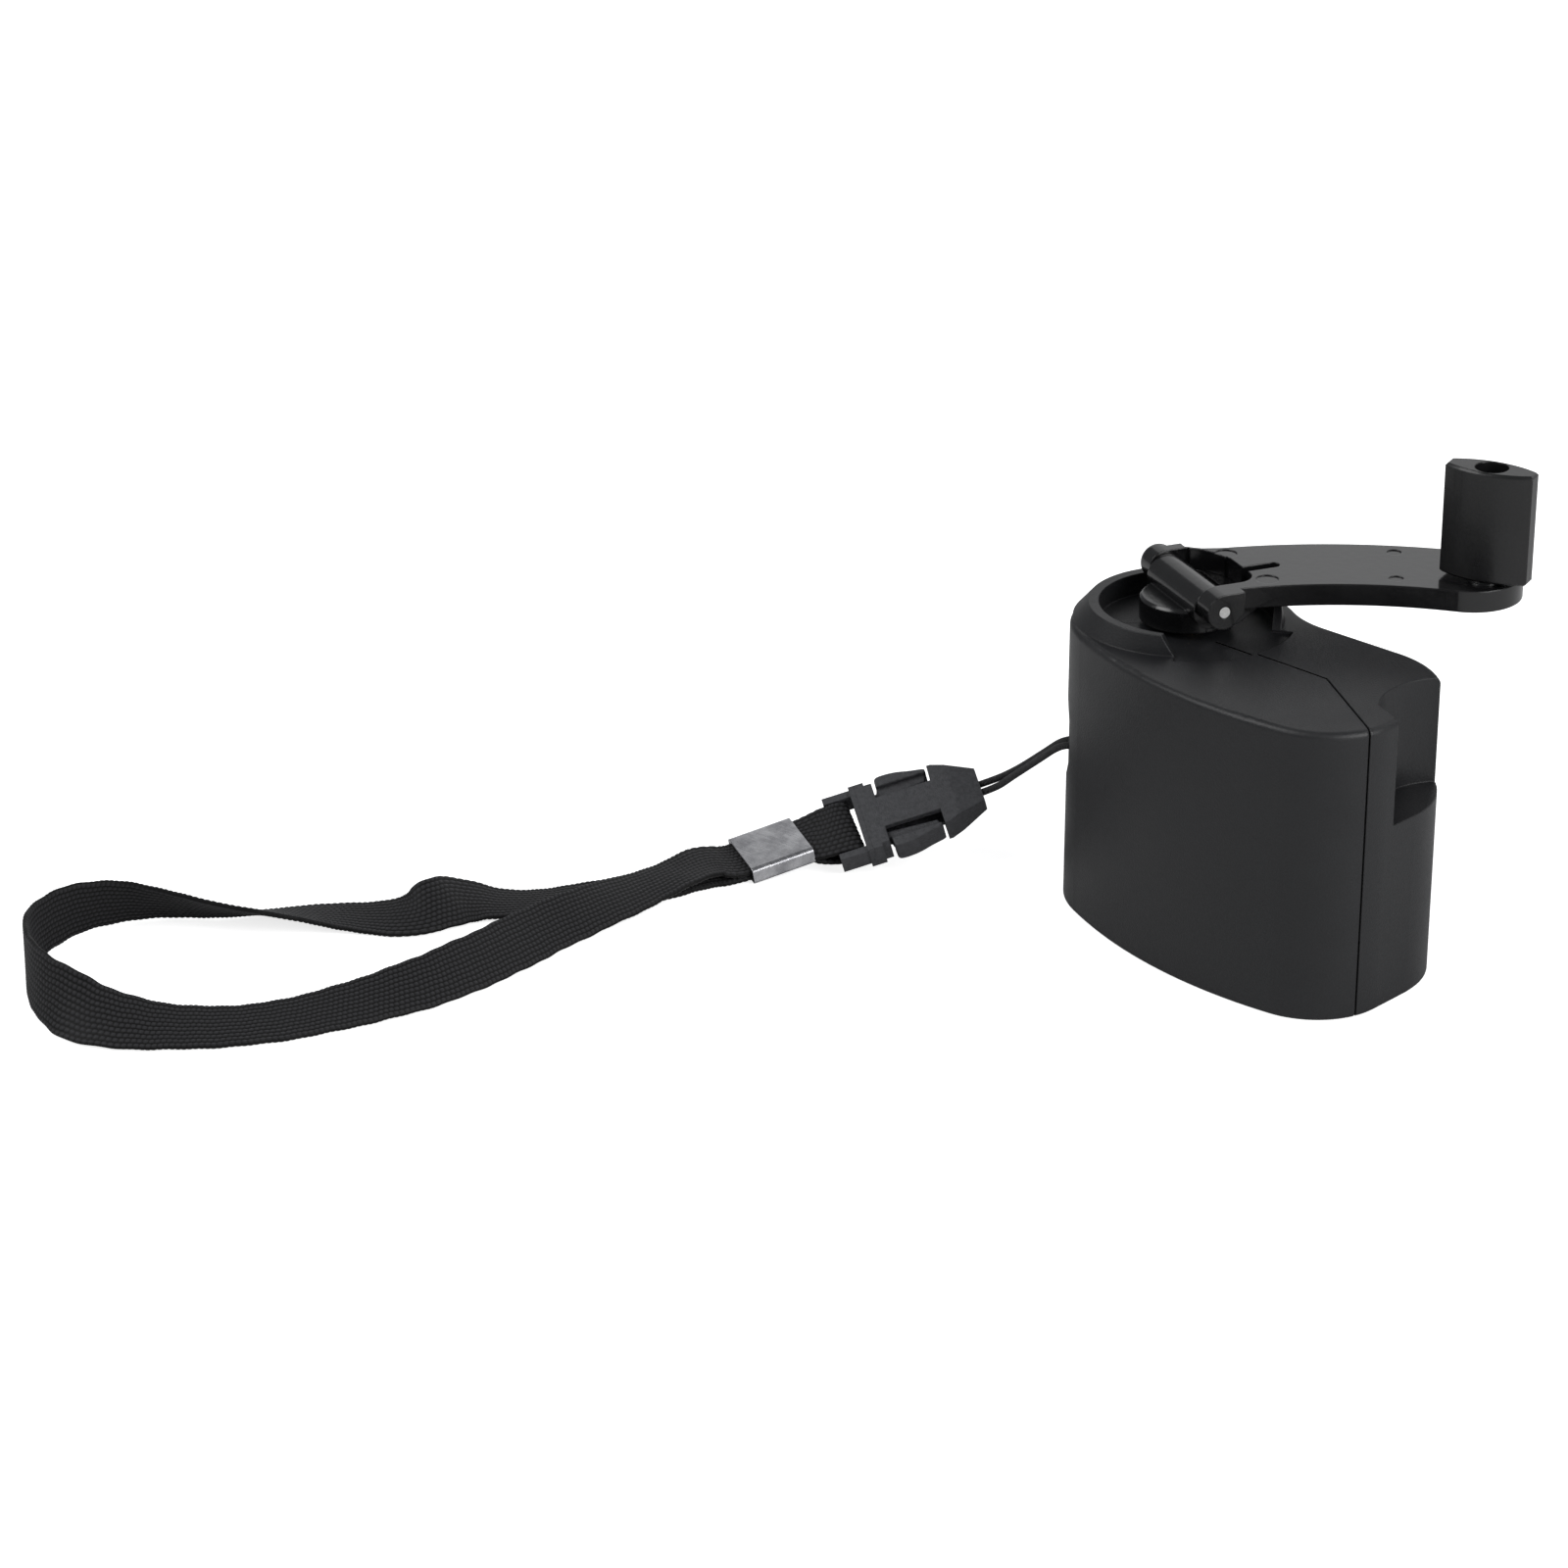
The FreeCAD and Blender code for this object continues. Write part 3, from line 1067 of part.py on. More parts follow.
def usb_shell():
    """Folded sheet shell of a standard A socket, open towards the hub end."""
    half = USB_WIDTH / 2.0
    z0 = board_top()
    x1 = USB_FACE_X + USB_LENGTH
    outer = box(USB_FACE_X, x1, -half, half, z0, z0 + USB_HEIGHT)
    inner = box(USB_FACE_X, x1 - USB_SHEET, -half + USB_SHEET, half - USB_SHEET,
                z0 + USB_SHEET, z0 + USB_HEIGHT - USB_SHEET)
    return outer.cut(inner)


def tongue_z():
    """Underside of the socket's tongue, which stands in the upper part of the mouth."""
    return board_top() + USB_HEIGHT / 2.0 + 0.1


def usb_tongue():
    """Insulator: a block at the back and a tongue that carries the contacts."""
    half = USB_WIDTH / 2.0 - USB_SHEET
    x1 = USB_FACE_X + USB_LENGTH - USB_SHEET
    block = box(x1 - TONGUE_BLOCK, x1, -half, half, board_top() + USB_SHEET, board_top() + USB_HEIGHT - USB_SHEET)
    tongue = box(USB_FACE_X + TONGUE_SET_BACK, x1, -TONGUE_WIDTH / 2, TONGUE_WIDTH / 2,
                 tongue_z(), tongue_z() + TONGUE_THICKNESS)
    return fuse([block, tongue])


def usb_contacts():
    x1 = USB_FACE_X + USB_LENGTH - USB_SHEET - TONGUE_BLOCK
    half = CONTACT_WIDTH / 2.0
    return Part.makeCompound([box(USB_FACE_X + TONGUE_SET_BACK + 0.5, x1, y - half, y + half,
                                  tongue_z() - CONTACT_THICKNESS, tongue_z()) for y in CONTACT_PITCHES])


def capacitor():
    """Standing electrolytic can with its crimped neck."""
    z = board_top()
    can = rod(5.2, 4.6, 3.15, z, z + 9.0)
    neck = ring(5.2, 4.6, 4.0, 2.85, z + 1.2, z + 1.9)
    return can.cut(neck)


def inductor():
    """Drum core choke: two flanges with the winding between them."""
    z = board_top()
    return fuse([rod(4.6, -4.2, 3.6, z, z + 1.0), rod(4.6, -4.2, 2.9, z + 1.0, z + 4.0),
                 rod(4.6, -4.2, 3.6, z + 4.0, z + 5.0)])


def rectifier_diodes():
    """Four small diodes in a row behind the socket."""
    z = board_top()
    bodies = []
    for row in range(4):
        y = -8.6 + row * 2.4 + 9.0
        bodies.append(box(-0.2, 1.4, y - 0.7, y + 0.7, z, z + 1.1))
    return Part.makeCompound(bodies)


def regulator_chip():
    """Eight-leg regulator behind the socket."""
    z = board_top()
    body = box(-0.4, 0.8, -6.6, -2.6, z + 0.3, z + 1.7)
    legs = []
    for row in range(4):
        y = -6.1 + row
        legs.append(box(-0.6, 0.95, y - 0.2, y + 0.2, z, z + 0.5))
    return fuse([body] + legs)


# ---------------------------------------------------------------- routes of cords and webbing

def corner_arc(before, corner, after):
    """Tangent points, centre and radius of the arc that rounds one corner of a route."""
    back = before - corner
    ahead = after - corner
    tangent = ARC_SHARE * min(back.Length, ahead.Length)
    back = back.normalize()
    ahead = ahead.normalize()
    half_turn = (math.pi - back.getAngle(ahead)) / 2.0
    radius = tangent / math.tan(half_turn)
    start = corner + back * tangent
    end = corner + ahead * tangent
    bisector = (back + ahead).normalize()
    centre = corner + bisector * (radius / math.cos(half_turn))
    middle = centre - bisector * radius
    return start, middle, end, centre, radius


def tube(points, radius, name):
    """Tube of straight runs and tangent arcs; prints its radii and checks its volume."""
    edges = []
    here = points[0]
    radii = []
    for before, corner, after in zip(points, points[1:], points[2:]):
        start, middle, end, _, bend = corner_arc(before, corner, after)
        edges.append(line(here, start))
        edges.append(Part.Arc(start, middle, end).toShape())
        radii.append(round(bend, 2))
        here = end
    edges.append(line(here, points[-1]))
    path = Part.Wire(edges)
    circle = Part.Wire(Part.makeCircle(radius, points[0], points[1] - points[0]))
    solid = path.makePipeShell([circle], True, True)
    share = solid.Volume / (math.pi * radius ** 2 * path.Length)
    print(name, "length %.1f" % path.Length, "radii", radii, "volume share %.4f" % share)
    return solid


def motor_lead(offset):
    """Lead from a terminal under the motor, over the screw boss, to its pad on the board."""
    y = -2.4 + offset
    foot = LOWER_PLATE_Z - MOTOR_LENGTH
    points = [Vec(22.6, y, foot), Vec(22.6, y, foot - 1.2), Vec(21.4, y, foot - 2.2),
              Vec(18.8, y, foot - 2.3), Vec(14.6, y, foot - 2.15), Vec(10.8, y, foot - 2.5),
              Vec(9.0, y, foot - 3.7), Vec(9.0, y, board_top())]
    return tube(points, 0.45, "motor lead")


def cord_route():
    """From the buckle round the post in the dish and back, chosen by hand."""
    start, ahead, across, _ = buckle_axes()
    length = (BUCKLE_END - BUCKLE_START).Length
    eye = start + ahead * (length - CORD_HOLE_DEPTH)
    left = eye + across * CORD_SPACING
    right = eye - across * CORD_SPACING
    post = post_centre()
    out = polar(1.0, DISH_ANGLE)
    side = polar(1.0, DISH_ANGLE + 90.0)
    wrap = POST_RADIUS + CORD_RADIUS + RUNNING_CLEARANCE
    turn = wrap * math.tan(math.radians(22.5))
    level = Vec(0, 0, DISH_HEIGHT - 2.4)
    rise = Vec(0, 0, 0.7)

    def near_post(outward, sideways, lift):
        return post + out * outward + side * sideways + level + rise * lift

    return [left, left + ahead * 4.6, Vec(-25.6, -8.0, 15.4), Vec(-20.0, -7.9, 20.1),
            near_post(2.0, -wrap - 0.1, -0.6), near_post(-turn, -wrap, -0.3), near_post(-wrap, -turn, -0.1),
            near_post(-wrap, turn, 0.1), near_post(-turn, wrap, 0.2), near_post(2.0, wrap + 0.1, 0.1),
            Vec(-18.5, -10.9, 20.3), Vec(-24.8, -10.0, 15.1), right + ahead * 4.6, right]


def lanyard_cord():
    return tube(cord_route(), CORD_RADIUS, "lanyard cord")


def blended(control, pieces):
    """Samples of the smooth line that a control list draws, which starts and ends on its end points."""
    samples = []
    last = len(control) - 3
    for span in range(last + 1):
        middle = control[span + 1]
        start = control[0] if span == 0 else halfway(control[span], middle)
        end = control[-1] if span == last else halfway(middle, control[span + 2])
        for k in range(pieces):
            t = k / pieces
            samples.append([p * (1 - t) ** 2 + q * 2 * t * (1 - t) + r * t * t
                            for p, q, r in zip(start, middle, end)])
    return samples + [list(control[-1])]


def halfway(a, b):
    return [(p + q) / 2.0 for p, q in zip(a, b)]


# ---------------------------------------------------------------- lanyard fittings

def axes_of(start, end, across):
    """Start point and the three unit directions of a piece of the lanyard."""
    ahead = (end - start).normalize()
    up = ahead.cross(across).normalize()
    side = up.cross(ahead)
    return start, ahead, side, up


def buckle_axes():
    return axes_of(BUCKLE_START, BUCKLE_END, BUCKLE_ACROSS)


def crimp_axes():
    return axes_of(CRIMP_START, CRIMP_END, CRIMP_ACROSS)


def placed(shape, axes):
    """Moves a piece from its own frame, X ahead and Y across, to its place."""
    start, ahead, side, up = axes
    matrix = FreeCAD.Matrix(ahead.x, side.x, up.x, start.x, ahead.y, side.y, up.y, start.y,
                            ahead.z, side.z, up.z, start.z, 0, 0, 0, 1)
    copy = shape.copy()
    copy.Placement = FreeCAD.Placement(matrix).multiply(copy.Placement)
    return copy


def slab(x0, x1, half_y, half_z):
    return box(x0, x1, -half_y, half_y, -half_z, half_z)


def buckle_plug():
    """Male half: the webbing frame, the cross plate and the guide tongue."""
    half = FRAME_THICKNESS / 2.0
    frame = slab(0.0, FRAME_END, FRAME_HALF_WIDTH, half)
    opening = slab(-1.0, FRAME_END, FRAME_HALF_WIDTH - FRAME_RAIL, half + 1)
    bar = slab(BAR_START, BAR_START + BAR_WIDTH, FRAME_HALF_WIDTH, BAR_THICKNESS / 2.0)
    plate = slab(FRAME_END, FRAME_END + CROSS_PLATE, PLATE_HALF_WIDTH, BUCKLE_THICKNESS / 2.0)
    guide = slab(FRAME_END, GUIDE_END, GUIDE_HALF_WIDTH, PRONG_THICKNESS / 2.0)
    return placed(fuse([frame.cut(opening), bar, plate, guide]), buckle_axes())


def prong(side):
    """One springy arm of the plug, with the bowed pad that shows in the socket's window."""
    root = FRAME_END + CROSS_PLATE + PRONG_ROOT_GAP
    pad_start = WINDOW_RANGE[0] + PAD_END_GAP
    outer = PRONG_OUTER - PRONG_BORE_GAP
    points = [(root, PRONG_INNER), (pad_start, PRONG_INNER + 0.5), (PRONG_END, PRONG_INNER + 1.1),
              (PRONG_END, outer), (root, outer)]
    body = prism([(x, y * side) for x, y in points], -PRONG_THICKNESS / 2.0, PRONG_THICKNESS / 2.0)
    foot = -PAD_THICKNESS / 2.0
    start = Vec(pad_start, PAD_INNER * side, foot)
    top = Vec((pad_start + PRONG_END) / 2.0, PRONG_PAD_OUTER * side, foot)
    end = Vec(PRONG_END, PAD_INNER * side, foot)
    bow = Part.Face(Part.Wire([Part.Arc(start, top, end).toShape(), line(end, start)]))
    return placed(fuse([body, bow.extrude(Vec(0, 0, PAD_THICKNESS))]), buckle_axes())


def socket_plan(z0, z1):
    length = (BUCKLE_END - BUCKLE_START).Length
    flange = SOCKET_START + FLANGE_THICKNESS
    points = [(SOCKET_START, PLATE_HALF_WIDTH), (flange, PLATE_HALF_WIDTH), (flange, SOCKET_HALF_WIDTH),
              (SOCKET_TAPER_START, SOCKET_HALF_WIDTH), (length, SOCKET_TIP_HALF_WIDTH)]
    mirrored = [(x, -y) for x, y in reversed(points)]
    return prism(points + mirrored, z0, z1)


def buckle_socket():
    """Female half: a flat sleeve with two side windows and a bevelled cord end."""
    half = BUCKLE_THICKNESS / 2.0
    length = (BUCKLE_END - BUCKLE_START).Length
    body = socket_plan(-half, half)
    tip = half - SOCKET_TIP_BEVEL
    bevel = [(SOCKET_TAPER_START + 2.0, half), (length, tip), (length + 1, tip), (length + 1, half + 1),
             (SOCKET_TAPER_START + 2.0, half + 1)]
    cuts = []
    for side in (1, -1):
        corners = [Vec(x, -10, z * side) for x, z in bevel]
        cuts.append(Part.Face(Part.makePolygon(corners + corners[:1])).extrude(Vec(0, 20, 0)))
        edges = sorted((SPINE_HALF_WIDTH * side, 2 * SOCKET_HALF_WIDTH * side))
        cuts.append(box(*WINDOW_RANGE, *edges, -half - 1, half + 1))
    bore_half = half - SOCKET_SKIN
    cuts.append(slab(SOCKET_START - 1, SOCKET_BORE_END, SOCKET_HALF_WIDTH - SOCKET_SKIN, bore_half))
    for side in (1, -1):
        y = CORD_SPACING * side
        cuts.append(Part.makeCylinder(CORD_RADIUS, CORD_HOLE_DEPTH, Vec(length - CORD_HOLE_DEPTH, y, 0), Vec(1, 0, 0)))
    return placed(body.cut(cuts), buckle_axes())


def crimp_inner():
    return WEB_WIDTH / 2.0 + 0.2, WEB_THICKNESS


def strap_crimp():
    """Folded metal band that clamps the webbing ends."""
    length = (CRIMP_END - CRIMP_START).Length
    half_width, half_height = crimp_inner()
    outer = slab(0.0, length, CRIMP_WIDTH / 2.0, half_height + CRIMP_WALL)
    long_edges = [e for e in outer.Edges if abs(e.tangentAt(0).x) > 0.99]
    outer = outer.makeFillet(half_height * 0.8, long_edges)
    return placed(outer.cut(slab(-1, length + 1, half_width, half_height)), crimp_axes())


def section_wire(centre, across, up, half_width, half_height):
    corners = [centre + across * (half_width * i) + up * (half_height * j)
               for i, j in ((-1, -1), (1, -1), (1, 1), (-1, 1))]
    return Part.Wire(Part.makePolygon(corners + corners[:1]).Edges)


def strap_tab():
    """Webbing that runs from the crimp, twists a little and wraps round the buckle's bar."""
    _, c_ahead, c_side, c_up = crimp_axes()
    b_start, b_ahead, b_side, b_up = buckle_axes()
    length = (CRIMP_END - CRIMP_START).Length
    half = WEB_WIDTH / 2.0
    stub = section_wire(CRIMP_END - c_ahead * (length / 2.0 - 0.1), c_side, c_up, half, WEB_THICKNESS)
    mouth = section_wire(CRIMP_END, c_side, c_up, half, WEB_THICKNESS)
    clamped = Part.makeLoft([stub, mouth], True, True)
    bar = BAR_START + BAR_WIDTH / 2.0
    loop_half = BAR_THICKNESS / 2.0 + WEB_THICKNESS
    before = section_wire(b_start + b_ahead * (bar - 1.9), b_side, b_up, half - 0.1, loop_half)
    bridge = Part.makeLoft([mouth, before], True, True)
    wrap = slab(bar - 1.9, bar + BAR_WIDTH / 2.0 + WEB_THICKNESS, half - 0.1, loop_half)
    hole = slab(bar - BAR_WIDTH / 2.0, bar + BAR_WIDTH / 2.0, half + 1, BAR_THICKNESS / 2.0)
    return fuse([clamped, bridge, placed(wrap.cut(hole), buckle_axes())])


def strap_control():
    """Control points of the loop's centre line with the direction across the webbing."""
    _, ahead, side, up = crimp_axes()
    half = WEB_WIDTH / 2.0
    layer = up * (WEB_THICKNESS / 2.0)
    inside = CRIMP_START + ahead * ((CRIMP_END - CRIMP_START).Length / 2.0 - 0.1)
    places = [CRIMP_START] + [Vec(x, y, 0) for x, y, _, _ in STRAP_ROUTE] + [CRIMP_START]
    outside = CRIMP_START - ahead * CRIMP_LEAD
    control = [[*(p - layer), *side] for p in (inside, CRIMP_START, outside)]
    for i, (x, y, lean, lift) in enumerate(STRAP_ROUTE):
        along = places[i + 2] - places[i]
        left = Vec(-along.y, along.x, 0).normalize()
        tilt = math.radians(lean)
        across = Vec(0, 0, math.sin(tilt)) - left * math.cos(tilt)
        height = half * abs(math.sin(tilt)) + WEB_THICKNESS / 2.0 * math.cos(tilt) + STRAP_REST + lift
        control.append([x, y, height, *across])
    return control + [[*(p + layer), *(side * -1)] for p in (outside, CRIMP_START, inside)]


def web_section(stations, i):
    """Cross section of the webbing at one station, square to the line there."""
    here = Vec(*stations[i][:3])
    along = (Vec(*stations[min(i + 1, len(stations) - 1)][:3]) - Vec(*stations[max(i - 1, 0)][:3])).normalize()
    across = Vec(*stations[i][3:])
    across = (across - along * across.dot(along)).normalize()
    normal = along.cross(across)
    half, thin = WEB_WIDTH / 2.0, WEB_THICKNESS / 2.0
    here.z = max(here.z, half * abs(across.z) + thin * abs(normal.z) + STRAP_REST)
    return section_wire(here, across, normal, half, thin)


def wrist_strap():
    """Loop of webbing whose two ends lie one on the other in the crimp."""
    stations = blended(strap_control(), 2)
    sections = [web_section(stations, i) for i in range(len(stations))]
    middle = len(sections) // 2
    near = Part.makeLoft(sections[:middle + 1], True, True)
    far = Part.makeLoft(sections[middle:], True, True)
    return near.fuse(far)


# ---------------------------------------------------------------- the set of pieces

def all_parts():
    parts = shells()
    parts.update({
        "shell_screws": shell_screws(), "hub_bushing": hub_bushing(), "crank_hub": crank_hub(),
        "crank_shaft": crank_shaft(), "drive_gear": drive_gear(), "shaft_clip": shaft_clip(),
        "hinge_pin": hinge_pin(), "crank_arm": crank_arm(), "knob": knob(), "knob_screw": knob_screw(),
        "gear_plate_upper": gear_plate_upper(), "gear_plate_lower": gear_plate_lower(),
        "plate_spacers": plate_spacers(), "plate_screws": plate_screws(), "gear_axles": gear_axles(),
        "second_gear": second_gear(), "third_gear": third_gear(), "motor_pinion": motor_pinion(),
        "motor_can": motor_can(), "motor_end_cap": motor_end_cap(), "motor_magnets": motor_magnets(),
        "rotor_core": rotor_core(), "rotor_windings": rotor_windings(), "rotor_shaft": rotor_shaft(),
        "commutator": commutator(), "brush_springs": brush_springs(), "motor_screws": motor_screws(),
        "circuit_board": circuit_board(), "board_screws": board_screws(), "usb_shell": usb_shell(),
        "usb_tongue": usb_tongue(), "usb_contacts": usb_contacts(), "capacitor": capacitor(),
        "inductor": inductor(), "rectifier_diodes": rectifier_diodes(),
        "regulator_chip": regulator_chip(), "motor_lead_red": motor_lead(0.0),
        "motor_lead_black": motor_lead(-2.2), "lanyard_cord": lanyard_cord(),
        "buckle_socket": buckle_socket(), "buckle_plug": buckle_plug(),
        "buckle_prong_left": prong(1), "buckle_prong_right": prong(-1), "strap_tab": strap_tab(),
        "strap_crimp": strap_crimp(), "wrist_strap": wrist_strap()})
    return parts


def main():
    os.makedirs("parts", exist_ok=True)
    for name, shape in all_parts().items():
        shape.exportStep("parts/%s.step" % name)


main()
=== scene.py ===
"""Hand crank phone charger: finishes, webbing, lanyard cord, stage and camera.

Everything is in metres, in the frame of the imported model.
"""
import json
import math

import bmesh
import bpy
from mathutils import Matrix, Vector

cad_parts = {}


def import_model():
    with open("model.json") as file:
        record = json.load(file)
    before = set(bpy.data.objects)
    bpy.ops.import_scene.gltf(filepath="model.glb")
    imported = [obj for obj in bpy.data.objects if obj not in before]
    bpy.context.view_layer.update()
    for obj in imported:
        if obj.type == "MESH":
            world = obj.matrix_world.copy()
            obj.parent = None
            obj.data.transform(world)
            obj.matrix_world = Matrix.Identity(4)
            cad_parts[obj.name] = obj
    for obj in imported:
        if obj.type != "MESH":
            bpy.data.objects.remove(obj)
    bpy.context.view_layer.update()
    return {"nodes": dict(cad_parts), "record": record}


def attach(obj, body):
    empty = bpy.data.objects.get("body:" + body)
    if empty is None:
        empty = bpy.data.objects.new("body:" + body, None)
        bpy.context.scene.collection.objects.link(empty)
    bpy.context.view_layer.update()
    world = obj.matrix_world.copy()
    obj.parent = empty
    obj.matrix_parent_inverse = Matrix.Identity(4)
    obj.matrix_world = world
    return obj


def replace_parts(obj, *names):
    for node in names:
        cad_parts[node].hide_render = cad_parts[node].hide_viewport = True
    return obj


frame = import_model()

UP = Vector((0.0, 0.0, 1.0))

# Lanyard: the cord's route, the crimp and the buckle lie where the solids do.
CORD_DIAMETER = 0.0011
CORD_ROUTE = (
    (-0.032719, -0.012013, 0.011165), (-0.029955, -0.008564, 0.012441), (-0.025600, -0.008000, 0.015400),
    (-0.020000, -0.007900, 0.020100), (-0.016166, -0.008097, 0.023380), (-0.013855, -0.006771, 0.023590),
    (-0.012563, -0.007069, 0.023730), (-0.011861, -0.008193, 0.023870), (-0.012159, -0.009484, 0.023940),
    (-0.014364, -0.010980, 0.023870), (-0.018500, -0.010900, 0.020300), (-0.024800, -0.010000, 0.015100),
    (-0.028722, -0.009287, 0.011724), (-0.031485, -0.012736, 0.010448))
CRIMP_START = Vector((-0.0532, -0.03995, 0.00175))
CRIMP_END = Vector((-0.04884, -0.03105, 0.00385))
CRIMP_ACROSS = Vector((-0.834, 0.543, 0.103))
BUCKLE_START = Vector((-0.0449, -0.02835, 0.0049))
BUCKLE_END = Vector((-0.0306, -0.0105, 0.0115))
BUCKLE_ACROSS = Vector((-0.755, 0.471, 0.455))

# Webbing, and how it lies in the crimp: two layers, held over a short length.
WEB_WIDTH = 0.0095
WEB_THICKNESS = 0.0009
LAYER_OFFSET = WEB_THICKNESS / 2.0
HELD_LENGTH = 0.004
CRIMP_LEAD = 0.0016

# Short tab: it runs round the bar of the buckle, a little askew.
BAR_MIDDLE = 0.0019
BAR_TO_WEB = 0.00128
TAB_BEFORE_BAR = 0.0022
TAB_PAST_BAR = 0.0016
TAB_SKEW = 0.07

# Wrist loop: each point with the lean of the webbing in degrees, where 0 lies flat and 90 stands
# on edge, and how far it is lifted off the surface.
LOOP_ROUTE = (
    (-0.0561, -0.0443, 4, 0.0016), (-0.0557, -0.0516, -6, 0.0017), (-0.0561, -0.0585, 4, 0.0016),
    (-0.0561, -0.0686, 18, 0.0010), (-0.0566, -0.0787, 23, 0.0002), (-0.0556, -0.0902, 26, 0),
    (-0.0557, -0.1021, 24, 0), (-0.0597, -0.1149, 12, 0), (-0.0648, -0.1272, 8, 0),
    (-0.0733, -0.1376, 14, 0), (-0.0807, -0.1446, 38, 0), (-0.0887, -0.1456, 70, 0),
    (-0.0972, -0.1428, 88, 0), (-0.1051, -0.1367, 92, 0), (-0.1080, -0.1289, 84, 0),
    (-0.1071, -0.1209, 68, 0), (-0.1019, -0.1140, 50, 0), (-0.0945, -0.1088, 36, 0),
    (-0.0901, -0.1027, 22, 0), (-0.0855, -0.0956, 6, 0), (-0.0797, -0.0909, -4, 0),
    (-0.0754, -0.0882, -14, 0), (-0.0737, -0.0841, -32, 0), (-0.0733, -0.0789, -20, 0),
    (-0.0697, -0.0742, 2, 0), (-0.0652, -0.0690, 6, 0), (-0.0621, -0.0620, 0, 0),
    (-0.0585, -0.0551, -2, 0), (-0.0568, -0.0466, 0, 0))
LOOP_REST = 0.00005

# Weave of the webbing. STITCH_SHARE is how much of the relief the single stitches make, over the
# ribs, and EDGE_FULLNESS how full the band still is at its very edge. The edges stray from straight
# by two waves, given in radians per metre.
WEAVE_ROWS = 11
STITCH_LENGTH = 0.0008
STITCH_HEIGHT = 0.0002
STITCH_SHARE = 0.75
STITCH_ROUNDNESS = 0.6
ROW_MARGIN = 1e-6
SAMPLES_PER_ROW = 4
SAMPLES_PER_STITCH = 4
STATION_STEP = STITCH_LENGTH / SAMPLES_PER_STITCH
EDGE_FULLNESS = 0.35
EDGE_WANDER = 0.00006
SLOW_WANDER = 610.0
FAST_WANDER = 1430.0
FAST_PHASE = 2.1
LEFT_PHASE = 0.4
RIGHT_PHASE = 2.9

# Springy arms of the buckle, in the buckle's own axes: metres ahead and across.
PAD_HALF_THICKNESS = 0.0019
PAD_STEP = 0.00025
PAD_OUTLINE = (
    (0.0085, 0.0050), (0.0085, 0.0056), (0.0086, 0.0068), (0.0103, 0.0069), (0.0122, 0.0067),
    (0.0142, 0.0061), (0.0164, 0.0057), (0.0166, 0.0053), (0.0164, 0.0050))
ARM_HALF_THICKNESS = 0.0011
ARM_OUTLINE = (
    (0.00545, 0.0027), (0.0085, 0.0032), (0.0160, 0.0038), (0.0164, 0.0051), (0.0085, 0.0051),
    (0.0083, 0.0043), (0.00545, 0.0043))
ARM_EDGE = 0.0003
ARM_EDGE_SEGMENTS = 3
ARM_EDGE_ANGLE = math.radians(40.0)

# Parting line on the flat of the top, between its bend and its kink: y = slope * x + offset.
SEAM_RANGE = (0.0080, 0.0291)
SEAM_SLOPE = -0.0237
SEAM_OFFSET = -0.00261
SEAM_HALF_WIDTH = 0.00017
SEAM_HEIGHT = 0.040
# Painted shadow: near-black colour of the band along the parting line, standing in for the shade in its
# groove.
SEAM_SHADOW_COLOUR = (0.001, 0.001, 0.001, 1.0)

# Plastics: dark and light are the ends of the slow drift in colour, whose patches are patch across.
# grain and depth are the width and height of the fine grain, and edge rounds the edges.
PLASTICS = {
    "body_plastic": dict(dark=(0.0082, 0.0085, 0.0098), light=(0.0112, 0.0116, 0.0132), roughness=0.44,
                         grain=0.00025, depth=0.000045, edge=0.0003),
    "crank_plastic": dict(dark=(0.0045, 0.0045, 0.005), light=(0.0065, 0.0065, 0.007), roughness=0.2,
                          grain=0.0012, depth=0.00002, coat=0.3, patch=0.005, edge=0.00035),
    "knob_plastic": dict(dark=(0.006, 0.006, 0.0065), light=(0.009, 0.009, 0.0095), roughness=0.3,
                         grain=0.0006, depth=0.000012, coat=0.1, patch=0.006, edge=0.0004),
    "buckle_plastic": dict(dark=(0.036, 0.037, 0.041), light=(0.06, 0.061, 0.067), roughness=0.55,
                           grain=0.00025, depth=0.00009, patch=0.0006, edge=0.0003),
    "gear_plastic": dict(dark=(0.62, 0.6, 0.54), light=(0.72, 0.7, 0.63), roughness=0.45,
                         grain=0.0004, depth=0.00001),
    "cap_plastic": dict(dark=(0.7, 0.7, 0.66), light=(0.78, 0.78, 0.74), roughness=0.5,
                        grain=0.0004, depth=0.00001),
    "chip_plastic": dict(dark=(0.012, 0.012, 0.012), light=(0.02, 0.02, 0.02), roughness=0.6,
                         grain=0.0002, depth=0.00001),
    "board_laminate": dict(dark=(0.01, 0.12, 0.04), light=(0.015, 0.16, 0.055), roughness=0.35,
                           grain=0.0006, depth=0.000006),
    "tongue_plastic": dict(dark=(0.7, 0.7, 0.7), light=(0.8, 0.8, 0.8), roughness=0.4,
                           grain=0.0005, depth=0.000006),
    "capacitor_sleeve": dict(dark=(0.015, 0.015, 0.04), light=(0.025, 0.025, 0.06), roughness=0.3,
                             grain=0.001, depth=0.000006),
    "ferrite": dict(dark=(0.03, 0.03, 0.032), light=(0.06, 0.06, 0.062), roughness=0.7,
                    grain=0.0003, depth=0.00002),
    "magnet": dict(dark=(0.05, 0.05, 0.052), light=(0.09, 0.09, 0.095), roughness=0.6,
                   grain=0.0003, depth=0.00001),
    "red_lead": dict(dark=(0.35, 0.01, 0.01), light=(0.5, 0.015, 0.015), roughness=0.4,
                     grain=0.0005, depth=0.000006),
    "black_lead": dict(dark=(0.01, 0.01, 0.01), light=(0.02, 0.02, 0.02), roughness=0.4,
                       grain=0.0005, depth=0.000006)}
PLASTIC_GLOSS = (0.88, 1.12)
EDGE_SAMPLES = 6

